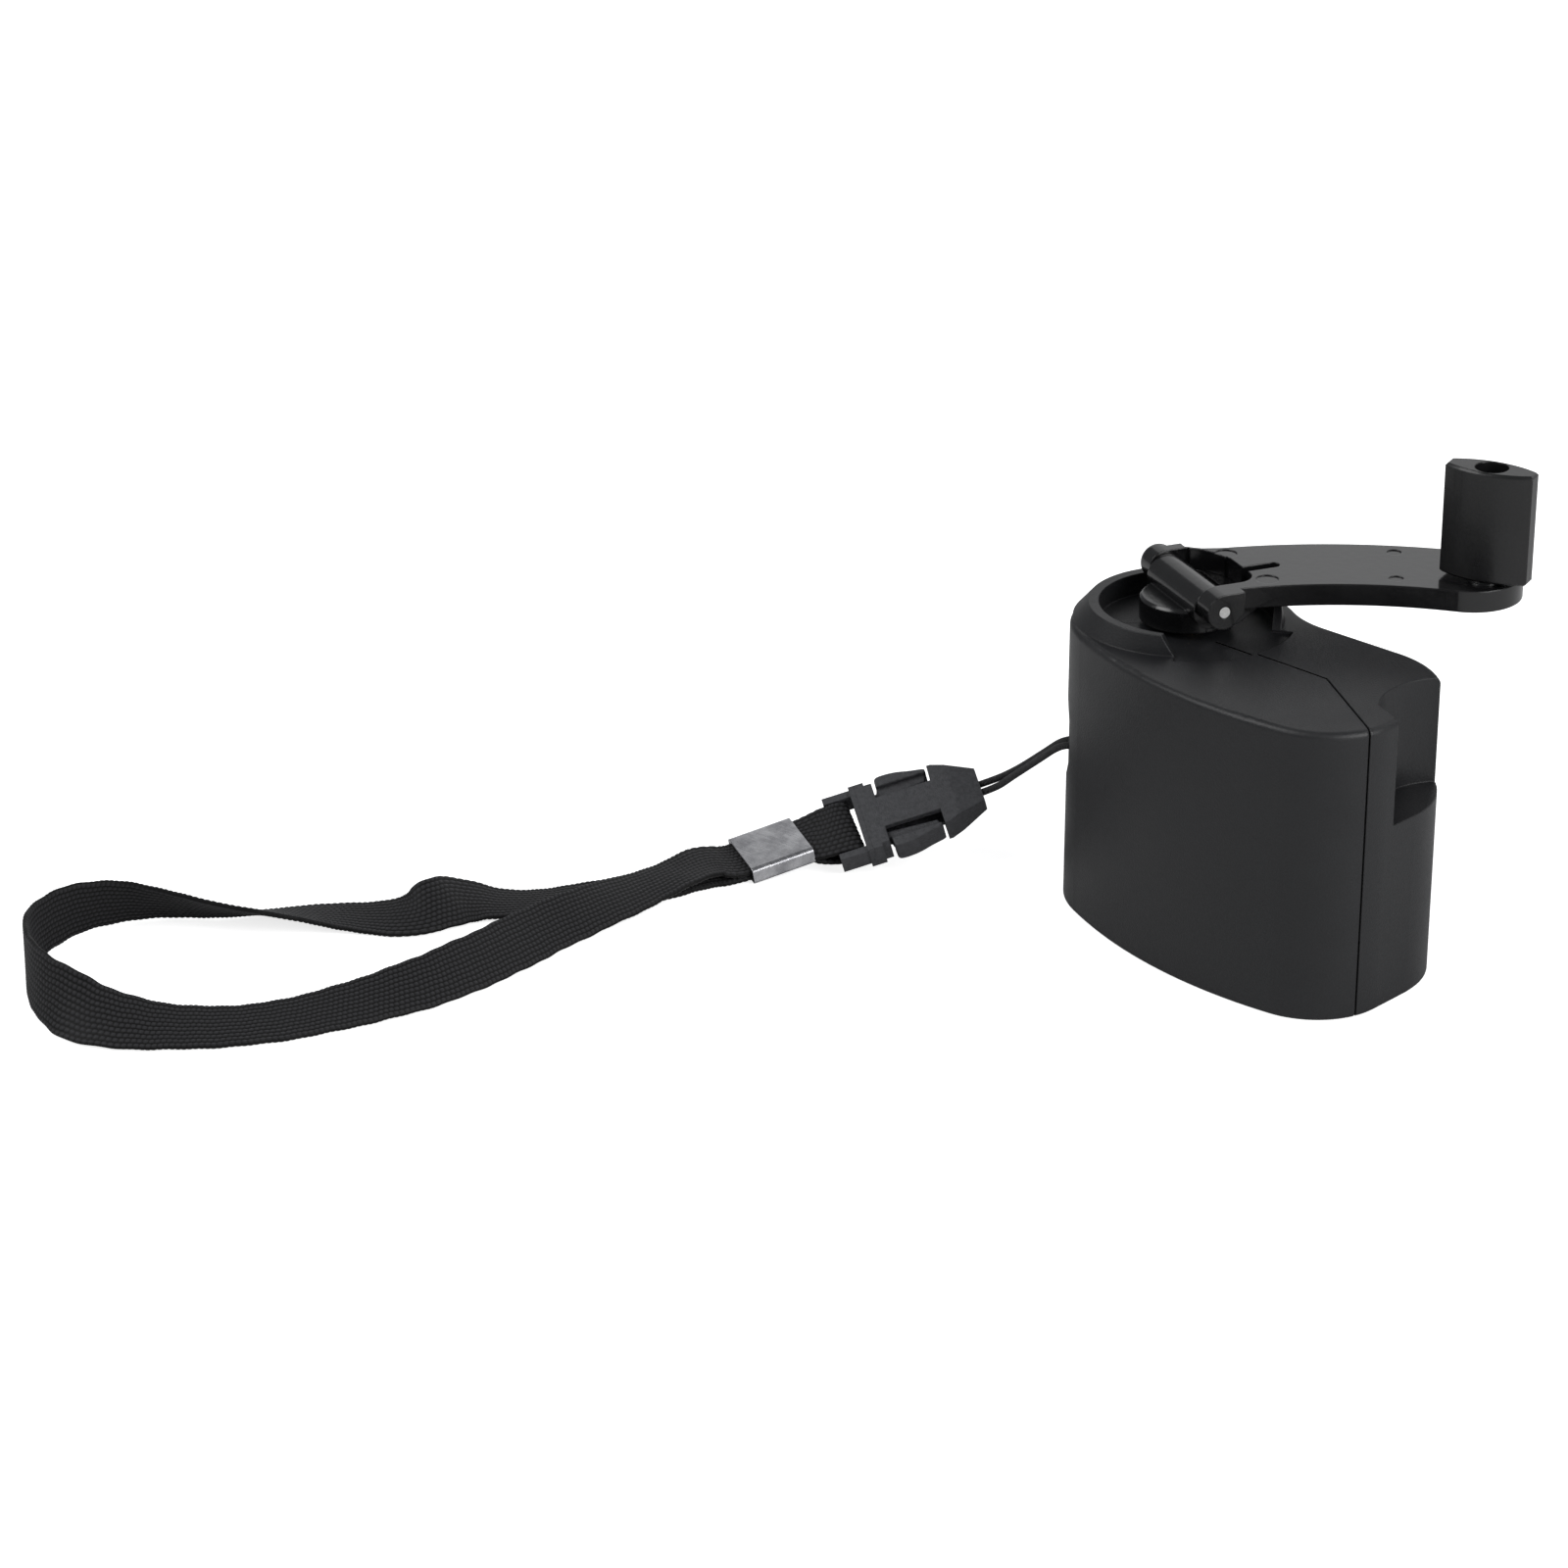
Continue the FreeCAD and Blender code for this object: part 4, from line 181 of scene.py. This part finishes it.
# Metals: as the plastics, but stretch scales their grain along x, y and z. A small number draws it
# out into lines along that axis and a large one squeezes it.
ALONG_Z = (1.0, 1.0, 0.06)
AROUND_Z = (1.0, 1.0, 8.0)
ACROSS_Z = (0.05, 0.05, 1.0)
EVEN = (1.0, 1.0, 1.0)
METALS = {
    "bright_steel": dict(dark=(0.72, 0.72, 0.71), light=(0.92, 0.92, 0.9), roughness=0.5,
                         grain=0.0004, stretch=AROUND_Z, depth=0.000004),
    "zinc_steel": dict(dark=(0.4, 0.4, 0.39), light=(0.56, 0.56, 0.54), roughness=0.35,
                       grain=0.0006, stretch=EVEN, depth=0.000004),
    "can_steel": dict(dark=(0.38, 0.38, 0.38), light=(0.52, 0.52, 0.52), roughness=0.32,
                      grain=0.0008, stretch=ALONG_Z, depth=0.000005),
    "laminations": dict(dark=(0.12, 0.12, 0.13), light=(0.3, 0.3, 0.32), roughness=0.4,
                        grain=0.0005, stretch=ACROSS_Z, depth=0.00001),
    "bronze": dict(dark=(0.3, 0.18, 0.08), light=(0.5, 0.33, 0.16), roughness=0.4,
                   grain=0.0003, stretch=EVEN, depth=0.000006),
    "brass": dict(dark=(0.5, 0.35, 0.12), light=(0.68, 0.5, 0.2), roughness=0.28,
                  grain=0.0006, stretch=AROUND_Z, depth=0.000004),
    "copper": dict(dark=(0.4, 0.16, 0.06), light=(0.62, 0.28, 0.12), roughness=0.3,
                   grain=0.0004, stretch=ALONG_Z, depth=0.00001),
    "gold_plate": dict(dark=(0.6, 0.42, 0.12), light=(0.75, 0.55, 0.2), roughness=0.22,
                       grain=0.0006, stretch=EVEN, depth=0.000003)}
METAL_GLOSS = (0.75, 1.3)

# Braid of the cord: the lean of its two sets of strands, the scale of their waves and the depth of
# the relief.
BRAID_LEAN = math.radians(38.0)
BRAID_SCALE = 1800.0
BRAID_DEPTH = 0.00008

# Fine threads of the webbing, under the modelled stitches.
THREADS_PER_METRE = 9000.0

# Stage: what the floor glows with towards the camera, and what it throws back onto the charger.
FLOOR_REACH = 6.0
FLOOR_GLOW = 0.78
FLOOR_BOUNCE = 0.7
SKY_COLOUR = (0.95, 0.97, 1.0, 1.0)
SKY_STRENGTH = 0.2
WHITE = (1.0, 1.0, 1.0, 1.0)

# Lamps: name, place, the point it faces, the side of its square and its power in watts.
LAMPS = (
    ("key", (-0.5, -0.7, 0.9), (0.0, -0.02, 0.03), 0.7, 6.0),
    ("fill", (0.85, 0.0, 0.5), (0.0, -0.02, 0.03), 0.6, 6.0),
    ("rear", (0.0, 0.9, 0.7), (0.0, 0.0, 0.04), 0.8, 1.8),
    ("back", (-0.85, 0.85, 0.52), (0.0, 0.0, 0.04), 0.9, 1.25))

# Camera, with its lens and sensor in millimetres.
CAMERA_PLACE = (0.4247, -0.5254, 0.3180)
CAMERA_AHEAD = Vector((-0.6346, 0.6571, -0.4067))
CAMERA_REACH = 50.0
LENS = 112.5
SENSOR_WIDTH = 36.0


# ---------------------------------------------------------------- materials

def new_material(name, colour, roughness, metallic=0.0, specular=0.5, coat=0.0):
    """Material whose principled shader holds the plain values; nodes are added by the callers."""
    material = bpy.data.materials.new(name)
    material.use_nodes = True
    shader = material.node_tree.nodes["Principled BSDF"]
    shader.inputs["Base Color"].default_value = (*colour, 1.0)
    shader.inputs["Roughness"].default_value = roughness
    shader.inputs["Metallic"].default_value = metallic
    shader.inputs["Specular IOR Level"].default_value = specular
    shader.inputs["Coat Weight"].default_value = coat
    return material, shader


def add(material, kind, **sockets):
    """New node with the values of some of its inputs."""
    node = material.node_tree.nodes.new(kind)
    for name, value in sockets.items():
        node.inputs[name].default_value = value
    return node


def join(material, output, socket):
    """Link from an output to an input."""
    material.node_tree.links.new(output, socket)


def object_noise(material, size, detail, stretch=EVEN):
    """Noise in object space whose blobs are about size metres across."""
    place = add(material, "ShaderNodeTexCoord")
    mapping = add(material, "ShaderNodeMapping", Scale=stretch)
    noise = add(material, "ShaderNodeTexNoise", Scale=1.0 / size, Detail=detail)
    join(material, place.outputs["Object"], mapping.inputs["Vector"])
    join(material, mapping.outputs["Vector"], noise.inputs["Vector"])
    return noise.outputs["Fac"]


def math_node(material, operation, *values):
    """Output of one arithmetic node; each value is a number or another node's output."""
    node = add(material, "ShaderNodeMath")
    node.operation = operation
    for i, value in enumerate(values):
        if isinstance(value, bpy.types.NodeSocket):
            join(material, value, node.inputs[i])
        else:
            node.inputs[i].default_value = value
    return node.outputs[0]


def spread(material, factor, low, high, start=0.3, end=0.7):
    """Maps a factor onto a range of values."""
    node = add(material, "ShaderNodeMapRange")
    join(material, factor, node.inputs["Value"])
    node.inputs["From Min"].default_value = start
    node.inputs["From Max"].default_value = end
    node.inputs["To Min"].default_value = low
    node.inputs["To Max"].default_value = high
    return node.outputs["Result"]


def colour_between(material, factor, dark, light, start=0.35, end=0.65):
    """Colour that goes from dark to light as the factor goes from start to end."""
    ramp = add(material, "ShaderNodeValToRGB")
    ramp.color_ramp.elements[0].position = start
    ramp.color_ramp.elements[0].color = (*dark, 1.0)
    ramp.color_ramp.elements[1].position = end
    ramp.color_ramp.elements[1].color = (*light, 1.0)
    join(material, factor, ramp.inputs["Fac"])
    return ramp.outputs["Color"]


def bump(material, shader, height, depth, strength=1.0, edge=0.0):
    """Grain on the surface, over a fine rounding of the edges where edge is its radius."""
    node = add(material, "ShaderNodeBump", Strength=strength, Distance=depth)
    join(material, height, node.inputs["Height"])
    if edge > 0.0:
        rounding = add(material, "ShaderNodeBevel", Radius=edge)
        rounding.samples = EDGE_SAMPLES
        join(material, rounding.outputs["Normal"], node.inputs["Normal"])
    join(material, node.outputs["Normal"], shader.inputs["Normal"])


def moulded(name, dark, light, roughness, grain, depth, coat=0.0, patch=0.012, edge=0.0):
    """Moulded plastic: fine grain in the surface, slow drift in colour and gloss."""
    material, shader = new_material(name, light, roughness, coat=coat)
    fine = object_noise(material, grain, detail=2.0)
    slow = object_noise(material, patch, detail=4.0)
    low, high = (roughness * share for share in PLASTIC_GLOSS)
    join(material, colour_between(material, slow, dark, light), shader.inputs["Base Color"])
    join(material, spread(material, slow, low, high), shader.inputs["Roughness"])
    bump(material, shader, fine, depth, edge=edge)
    return material


def paint_seam_shadow(material):
    """Painted shadow of the parting line's groove: a near-black band over the flat of the housing's top."""
    shader = material.node_tree.nodes["Principled BSDF"]
    here = add(material, "ShaderNodeNewGeometry")
    parts = add(material, "ShaderNodeSeparateXYZ")
    join(material, here.outputs["Position"], parts.inputs["Vector"])
    line = math_node(material, "MULTIPLY_ADD", parts.outputs["X"], SEAM_SLOPE, SEAM_OFFSET)
    apart = math_node(material, "ABSOLUTE", math_node(material, "SUBTRACT", parts.outputs["Y"], line))
    near = math_node(material, "LESS_THAN", apart, SEAM_HALF_WIDTH)
    after = math_node(material, "GREATER_THAN", parts.outputs["X"], SEAM_RANGE[0])
    before = math_node(material, "LESS_THAN", parts.outputs["X"], SEAM_RANGE[1])
    high = math_node(material, "GREATER_THAN", parts.outputs["Z"], SEAM_HEIGHT)
    painted_shadow_band = near
    for test in (after, before, high):
        painted_shadow_band = math_node(material, "MULTIPLY", painted_shadow_band, test)
    # Near-black diffuse shader that paints the groove's shadow.
    black = add(material, "ShaderNodeBsdfDiffuse", Color=SEAM_SHADOW_COLOUR)
    choose = add(material, "ShaderNodeMixShader")
    join(material, painted_shadow_band, choose.inputs["Fac"])
    join(material, shader.outputs["BSDF"], choose.inputs[1])
    join(material, black.outputs["BSDF"], choose.inputs[2])
    join(material, choose.outputs["Shader"], material.node_tree.nodes["Material Output"].inputs["Surface"])


def worked_metal(name, dark, light, roughness, grain, stretch, depth):
    """Metal with an even grain, or with drawn or brushed lines where stretch draws the grain out."""
    material, shader = new_material(name, light, roughness, metallic=1.0)
    lines = object_noise(material, grain, detail=4.0, stretch=stretch)
    low, high = (roughness * share for share in METAL_GLOSS)
    join(material, colour_between(material, lines, dark, light), shader.inputs["Base Color"])
    join(material, spread(material, lines, low, high), shader.inputs["Roughness"])
    bump(material, shader, lines, depth, strength=0.5)
    return material


def crimp_metal():
    """Bright plated band with fine handling scratches and a cloudy sheen."""
    material, shader = new_material("crimp_metal", colour=(0.62, 0.62, 0.63), roughness=0.24, metallic=1.0)
    scratches = object_noise(material, size=0.0009, detail=6.0, stretch=(0.35, 3.0, 1.0))
    cloud = object_noise(material, size=0.0025, detail=3.0)
    colour = colour_between(material, cloud, dark=(0.38, 0.38, 0.4), light=(0.62, 0.62, 0.64))
    join(material, colour, shader.inputs["Base Color"])
    join(material, spread(material, scratches, low=0.16, high=0.36), shader.inputs["Roughness"])
    bump(material, shader, scratches, depth=0.000012, strength=0.6, edge=0.0002)
    return material


def braided_cord():
    """Fine black braid: two crossed waves along the cord, with painted shade in the grooves between strands
    and lighter strand crowns.
    """
    material, shader = new_material("black_cord", colour=(0.012, 0.012, 0.013), roughness=0.6, specular=0.25)
    shader.inputs["Sheen Weight"].default_value = 0.08
    shader.inputs["Sheen Roughness"].default_value = 0.5
    place = add(material, "ShaderNodeTexCoord")
    strands = []
    for lean in (BRAID_LEAN, -BRAID_LEAN):
        mapping = add(material, "ShaderNodeMapping", Rotation=(0.0, 0.0, lean))
        wave = add(material, "ShaderNodeTexWave", Scale=BRAID_SCALE, Distortion=0.4)
        join(material, place.outputs["Object"], mapping.inputs["Vector"])
        join(material, mapping.outputs["Vector"], wave.inputs["Vector"])
        strands.append(wave.outputs["Fac"])
    height = math_node(material, "MAXIMUM", *strands)
    # Painted shade: the colour follows the strands' height, darker in the grooves between them.
    colour = colour_between(material, height, dark=(0.003, 0.003, 0.003), light=(0.05, 0.05, 0.053),
                            start=0.3, end=0.9)
    join(material, colour, shader.inputs["Base Color"])
    bump(material, shader, height, BRAID_DEPTH)
    return material


def woven_webbing():
    """Black polyester webbing; the stitches are modelled and the threads are bump. Its colour holds painted
    shade, darker in the hollows between stitches and lighter on their tops.
    """
    material, shader = new_material("black_webbing", colour=(0.008, 0.008, 0.009), roughness=0.6,
                                    specular=0.22)
    shader.inputs["Sheen Weight"].default_value = 0.08
    shader.inputs["Sheen Roughness"].default_value = 0.45
    weave = add(material, "ShaderNodeAttribute")
    weave.attribute_name = "weave"
    # Painted shade: the colour follows the weave's height, darker in the hollows, lighter on the stitch
    # tops.
    colour = colour_between(material, weave.outputs["Fac"], dark=(0.001, 0.001, 0.0011),
                            light=(0.031, 0.031, 0.034), start=0.2, end=1.0)
    join(material, colour, shader.inputs["Base Color"])
    threads = object_noise(material, size=1.0 / THREADS_PER_METRE, detail=2.0)
    join(material, spread(material, threads, low=0.45, high=0.68), shader.inputs["Roughness"])
    bump(material, shader, threads, depth=0.00003)
    return material


def make_materials():
    """One material for each slot of the record."""
    found = {name: moulded(name, **values) for name, values in PLASTICS.items()}
    for name, values in METALS.items():
        found[name] = worked_metal(name, **values)
    paint_seam_shadow(found["body_plastic"])
    found["crimp_metal"] = crimp_metal()
    found["black_cord"] = braided_cord()
    found["black_webbing"] = woven_webbing()
    return found


def dress_nodes():
    """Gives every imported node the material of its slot."""
    for entry in frame["record"]["subparts"]:
        node = frame["nodes"][entry["node"]]
        for place in node.material_slots:
            place.material = MATERIALS[entry["material_slot"]]


# ---------------------------------------------------------------- lanyard

def new_piece(name, data, slot, body):
    """Object that shows some data in the material of a slot and rides on a body."""
    piece = bpy.data.objects.new(name, data)
    bpy.context.scene.collection.objects.link(piece)
    data.materials.append(MATERIALS[slot])
    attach(piece, body)
    return piece


def unit_axes(start, end, across):
    """Unit vectors ahead from start to end, across it and up out of the two."""
    ahead = (end - start).normalized()
    up = ahead.cross(across).normalized()
    return ahead, up.cross(ahead), up


def halfway(a, b):
    """Middle of two lists of numbers."""
    return [(p + q) / 2 for p, q in zip(a, b)]


def blend_values(control, step):
    """Smooth line through a control list: quadratic B-spline with its ends on the end points.

    Each control point is a list of numbers; the samples lie about step apart along the line.
    """
    last = len(control) - 3
    samples = []
    for span in range(last + 1):
        b = control[span + 1]
        a = control[0] if span == 0 else halfway(control[span], b)
        c = control[-1] if span == last else halfway(b, control[span + 2])
        length = math.dist(a[:3], b[:3]) + math.dist(b[:3], c[:3])
        pieces = max(2, round(length / step))
        for k in range(pieces):
            t = k / pieces
            samples.append([x * (1 - t) ** 2 + y * 2 * t * (1 - t) + z * t * t for x, y, z in zip(a, b, c)])
    samples.append(list(control[-1]))
    return samples


def spaced(samples, step):
    """The same line with stations at an even spacing, and its length."""
    lengths = [0.0]
    for a, b in zip(samples, samples[1:]):
        lengths.append(lengths[-1] + math.dist(a[:3], b[:3]))
    count = max(2, round(lengths[-1] / step))
    result = []
    k = 0
    for i in range(count + 1):
        want = lengths[-1] * i / count
        while k < len(samples) - 2 and lengths[k + 1] < want:
            k += 1
        gap = lengths[k + 1] - lengths[k]
        t = 0.0 if gap == 0 else min(1.0, (want - lengths[k]) / gap)
        result.append([x + (y - x) * t for x, y in zip(samples[k], samples[k + 1])])
    return result, lengths[-1]


def weave_height(column, distance):
    """Height from 0 to 1 of the weave at a place given in rows across and metres along."""
    row = min(WEAVE_ROWS - ROW_MARGIN, max(0.0, column))
    rib = math.sin(math.pi * (row % 1.0)) ** STITCH_ROUNDNESS
    shift = 0.5 * (int(row) % 2)
    stitch = abs(math.sin(math.pi * (distance / STITCH_LENGTH + shift))) ** STITCH_ROUNDNESS
    return rib * (1.0 - STITCH_SHARE + STITCH_SHARE * stitch)


def edge_wander(distance, phase):
    """How far one edge of the webbing strays from straight at a distance along it."""
    slow = math.sin(SLOW_WANDER * distance + phase)
    fast = math.sin(FAST_WANDER * distance + FAST_PHASE * phase)
    return EDGE_WANDER * (slow + fast)


def station_axes(stations, i):
    """Place of a station, lifted so that no edge is below the floor, and its vectors across and out."""
    here = Vector(stations[i][:3])
    before = Vector(stations[max(0, i - 1)][:3])
    after = Vector(stations[min(len(stations) - 1, i + 1)][:3])
    along = (after - before).normalized()
    across = Vector(stations[i][3:6])
    across = (across - along * across.dot(along)).normalized()
    normal = along.cross(across)
    half_width = WEB_WIDTH / 2.0 + 2.0 * EDGE_WANDER
    least = half_width * abs(across.z) + WEB_THICKNESS / 2.0 * abs(normal.z) + LOOP_REST
    here.z = max(here.z, least)
    return here, across, normal


def band_ring(stations, i, distance):
    """Points round the webbing at a station, each with the height of the weave there."""
    here, across, normal = station_axes(stations, i)
    columns = WEAVE_ROWS * SAMPLES_PER_ROW
    core = WEB_THICKNESS / 2.0 - STITCH_HEIGHT
    left = edge_wander(distance, LEFT_PHASE)
    right = edge_wander(distance, RIGHT_PHASE)
    ring = []
    for face in (1.0, -1.0):
        for j in range(columns + 1):
            share = j / columns if face > 0 else 1.0 - j / columns
            rise = weave_height(share * WEAVE_ROWS, distance)
            inset = min(share, 1.0 - share) * WEB_WIDTH
            thick = core * min(1.0, math.sqrt(inset / core) + EDGE_FULLNESS) + STITCH_HEIGHT * rise
            place = (share - 0.5) * WEB_WIDTH + left * (1.0 - share) + right * share
            ring.append((here + across * place + normal * (face * thick), rise))
    return ring


def webbing(name, control, body):
    """Woven band along control points, each x, y, z and the unit vector across."""
    stations, length = spaced(blend_values(control, STATION_STEP), STATION_STEP)
    last = len(stations) - 1
    points = []
    for i in range(last + 1):
        points += band_ring(stations, i, length * i / last)
    loop = len(points) // len(stations)
    faces = []
    for i in range(last):
        for j in range(loop):
            a = i * loop + j
            b = i * loop + (j + 1) % loop
            faces.append((a, a + loop, b + loop, b))
    faces.append(tuple(range(loop)))
    faces.append(tuple(reversed(range(last * loop, len(points)))))
    mesh = bpy.data.meshes.new(name)
    mesh.from_pydata([tuple(point) for point, _ in points], [], faces)
    layer = mesh.attributes.new("weave", "FLOAT", "POINT")
    layer.data.foreach_set("value", [rise for _, rise in points])
    mesh.shade_smooth()
    mesh.validate()
    return new_piece(name, mesh, "black_webbing", body)


def loop_control():
    """Control points of the wrist loop, from the crimp out, round and back into it."""
    ahead, side, up = unit_axes(CRIMP_START, CRIMP_END, CRIMP_ACROSS)
    layer = up * LAYER_OFFSET
    held = [CRIMP_START + ahead * HELD_LENGTH, CRIMP_START, CRIMP_START - ahead * CRIMP_LEAD]
    control = [[*(place + layer), *side] for place in held]
    places = [CRIMP_START] + [Vector((x, y, 0.0)) for x, y, _, _ in LOOP_ROUTE] + [CRIMP_START]
    for i, (x, y, degrees, lift) in enumerate(LOOP_ROUTE):
        along = places[i + 2] - places[i]
        left = Vector((-along.y, along.x, 0.0)).normalized()
        lean = math.radians(degrees)
        across = UP * math.sin(lean) - left * math.cos(lean)
        z = WEB_WIDTH / 2.0 * abs(math.sin(lean)) + WEB_THICKNESS / 2.0 * math.cos(lean) + LOOP_REST + lift
        control.append([x, y, z, *across])
    return control + [[*(place - layer), *(side * -1.0)] for place in reversed(held)]


def tab_control():
    """Control points of the short tab, from the crimp round the buckle's bar and back."""
    ahead, side, up = unit_axes(CRIMP_START, CRIMP_END, CRIMP_ACROSS)
    bar_ahead, bar_side, bar_up = unit_axes(BUCKLE_START, BUCKLE_END, BUCKLE_ACROSS)
    bar = BUCKLE_START + bar_ahead * BAR_MIDDLE
    bar_side = (bar_side - bar_ahead * TAB_SKEW).normalized()
    control = []
    for face in (1.0, -1.0):
        layer = up * (LAYER_OFFSET * face)
        bar_layer = bar_up * (BAR_TO_WEB * face)
        part = [[*(CRIMP_END - ahead * HELD_LENGTH + layer), *side],
                [*(CRIMP_END + layer), *side],
                [*(bar - bar_ahead * TAB_BEFORE_BAR + bar_layer), *bar_side],
                [*(bar + bar_ahead * TAB_PAST_BAR + bar_layer), *bar_side]]
        control += part if face > 0 else part[::-1]
    return control


def add_plate(form, outline, half_thickness, side):
    """Flat plate with this outline in the buckle's axes; side is 1 for the left and -1 for the right."""
    ahead, across, up = unit_axes(BUCKLE_START, BUCKLE_END, BUCKLE_ACROSS)
    rings = []
    for level in (-half_thickness, half_thickness):
        start = BUCKLE_START + up * level
        rings.append([form.verts.new(start + ahead * p[0] + across * (p[1] * side)) for p in outline])
    form.faces.new(rings[0])
    form.faces.new(rings[1][::-1])
    for i in range(len(outline)):
        k = (i + 1) % len(outline)
        form.faces.new((rings[0][i], rings[1][i], rings[1][k], rings[0][k]))


def springy_arm(name, side, body):
    """One arm of the buckle's plug: a thin arm with a grip pad, bowed near the root and slim at the tip."""
    bowed = blend_values([[x, y, 0.0] for x, y in PAD_OUTLINE], PAD_STEP)
    form = bmesh.new()
    add_plate(form, bowed, PAD_HALF_THICKNESS, side)
    add_plate(form, ARM_OUTLINE, ARM_HALF_THICKNESS, side)
    bmesh.ops.recalc_face_normals(form, faces=form.faces)
    mesh = bpy.data.meshes.new(name)
    form.to_mesh(mesh)
    form.free()
    mesh.shade_smooth()
    arm = new_piece(name, mesh, "buckle_plastic", body)
    rounding = arm.modifiers.new("edges", "BEVEL")
    rounding.width = ARM_EDGE
    rounding.segments = ARM_EDGE_SEGMENTS
    rounding.angle_limit = ARM_EDGE_ANGLE
    rounding.harden_normals = True
    return arm


def lanyard_cord():
    """Doubled cord from the buckle round the post of the housing and back."""
    curve = bpy.data.curves.new("lanyard_cord_line", "CURVE")
    curve.dimensions = "3D"
    curve.bevel_depth = CORD_DIAMETER / 2.0
    curve.bevel_resolution = 5
    curve.resolution_u = 12
    curve.use_fill_caps = True
    line = curve.splines.new("NURBS")
    line.points.add(len(CORD_ROUTE) - 1)
    for point, place in zip(line.points, CORD_ROUTE):
        point.co = (*place, 1.0)
    line.order_u = 3
    line.use_endpoint_u = True
    cord = new_piece("lanyard_string", curve, "black_cord", "housing")
    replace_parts(cord, "lanyard_cord")


# ---------------------------------------------------------------- stage, light and camera

def area_light(name, place, target, size, power):
    """Square lamp that faces a point."""
    lamp = bpy.data.lights.new(name, "AREA")
    lamp.energy = power
    lamp.shape = "SQUARE"
    lamp.size = size
    holder = bpy.data.objects.new(name, lamp)
    holder.location = place
    holder.rotation_euler = (Vector(target) - Vector(place)).to_track_quat("-Z", "Y").to_euler()
    bpy.context.scene.collection.objects.link(holder)


def floor():
    """White floor that glows towards the camera and throws a soft light back onto the charger."""
    signs = ((-1, -1), (1, -1), (1, 1), (-1, 1))
    corners = [(x * FLOOR_REACH, y * FLOOR_REACH, 0.0) for x, y in signs]
    mesh = bpy.data.meshes.new("floor")
    mesh.from_pydata(corners, [], [(0, 1, 2, 3)])
    plane = bpy.data.objects.new("floor", mesh)
    bpy.context.scene.collection.objects.link(plane)
    material, shader = new_material("floor", colour=(0.9, 0.9, 0.9), roughness=0.9, specular=0.0)
    glow = add(material, "ShaderNodeEmission", Color=WHITE, Strength=FLOOR_GLOW)
    both = add(material, "ShaderNodeAddShader")
    bounce = add(material, "ShaderNodeBsdfDiffuse", Color=(FLOOR_BOUNCE, FLOOR_BOUNCE, FLOOR_BOUNCE, 1.0))
    path = add(material, "ShaderNodeLightPath")
    choose = add(material, "ShaderNodeMixShader")
    output = material.node_tree.nodes["Material Output"]
    join(material, shader.outputs["BSDF"], both.inputs[0])
    join(material, glow.outputs["Emission"], both.inputs[1])
    join(material, path.outputs["Is Camera Ray"], choose.inputs["Fac"])
    join(material, bounce.outputs["BSDF"], choose.inputs[1])
    join(material, both.outputs["Shader"], choose.inputs[2])
    join(material, choose.outputs["Shader"], output.inputs["Surface"])
    mesh.materials.append(material)


def world():
    """Sky that lights the charger softly and is plain white in the picture."""
    sky = bpy.data.worlds.new("studio")
    bpy.context.scene.world = sky
    sky.use_nodes = True
    nodes = sky.node_tree.nodes
    links = sky.node_tree.links
    back = nodes["Background"]
    back.inputs["Color"].default_value = SKY_COLOUR
    back.inputs["Strength"].default_value = SKY_STRENGTH
    white = nodes.new("ShaderNodeBackground")
    white.inputs["Color"].default_value = WHITE
    path = nodes.new("ShaderNodeLightPath")
    choose = nodes.new("ShaderNodeMixShader")
    links.new(path.outputs["Is Camera Ray"], choose.inputs["Fac"])
    links.new(back.outputs["Background"], choose.inputs[1])
    links.new(white.outputs["Background"], choose.inputs[2])
    links.new(choose.outputs["Shader"], nodes["World Output"].inputs["Surface"])


def camera():
    """Camera solved from the photo."""
    lens = bpy.data.cameras.new("camera")
    lens.sensor_width = SENSOR_WIDTH
    lens.lens = LENS
    lens.clip_end = CAMERA_REACH
    eye = bpy.data.objects.new("camera", lens)
    eye.location = CAMERA_PLACE
    eye.rotation_euler = CAMERA_AHEAD.to_track_quat("-Z", "Y").to_euler()
    bpy.context.scene.collection.objects.link(eye)
    bpy.context.scene.camera = eye


MATERIALS = make_materials()
dress_nodes()
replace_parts(webbing("wrist_loop_band", loop_control(), "housing"), "wrist_strap")
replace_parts(webbing("buckle_tab_band", tab_control(), "housing"), "strap_tab")
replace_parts(springy_arm("buckle_arm_left", 1.0, "prong_left"), "buckle_prong_left")
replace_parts(springy_arm("buckle_arm_right", -1.0, "prong_right"), "buckle_prong_right")
lanyard_cord()
floor()
world()
camera()
for lamp_values in LAMPS:
    area_light(*lamp_values)
bpy.context.scene.view_settings.view_transform = "Standard"
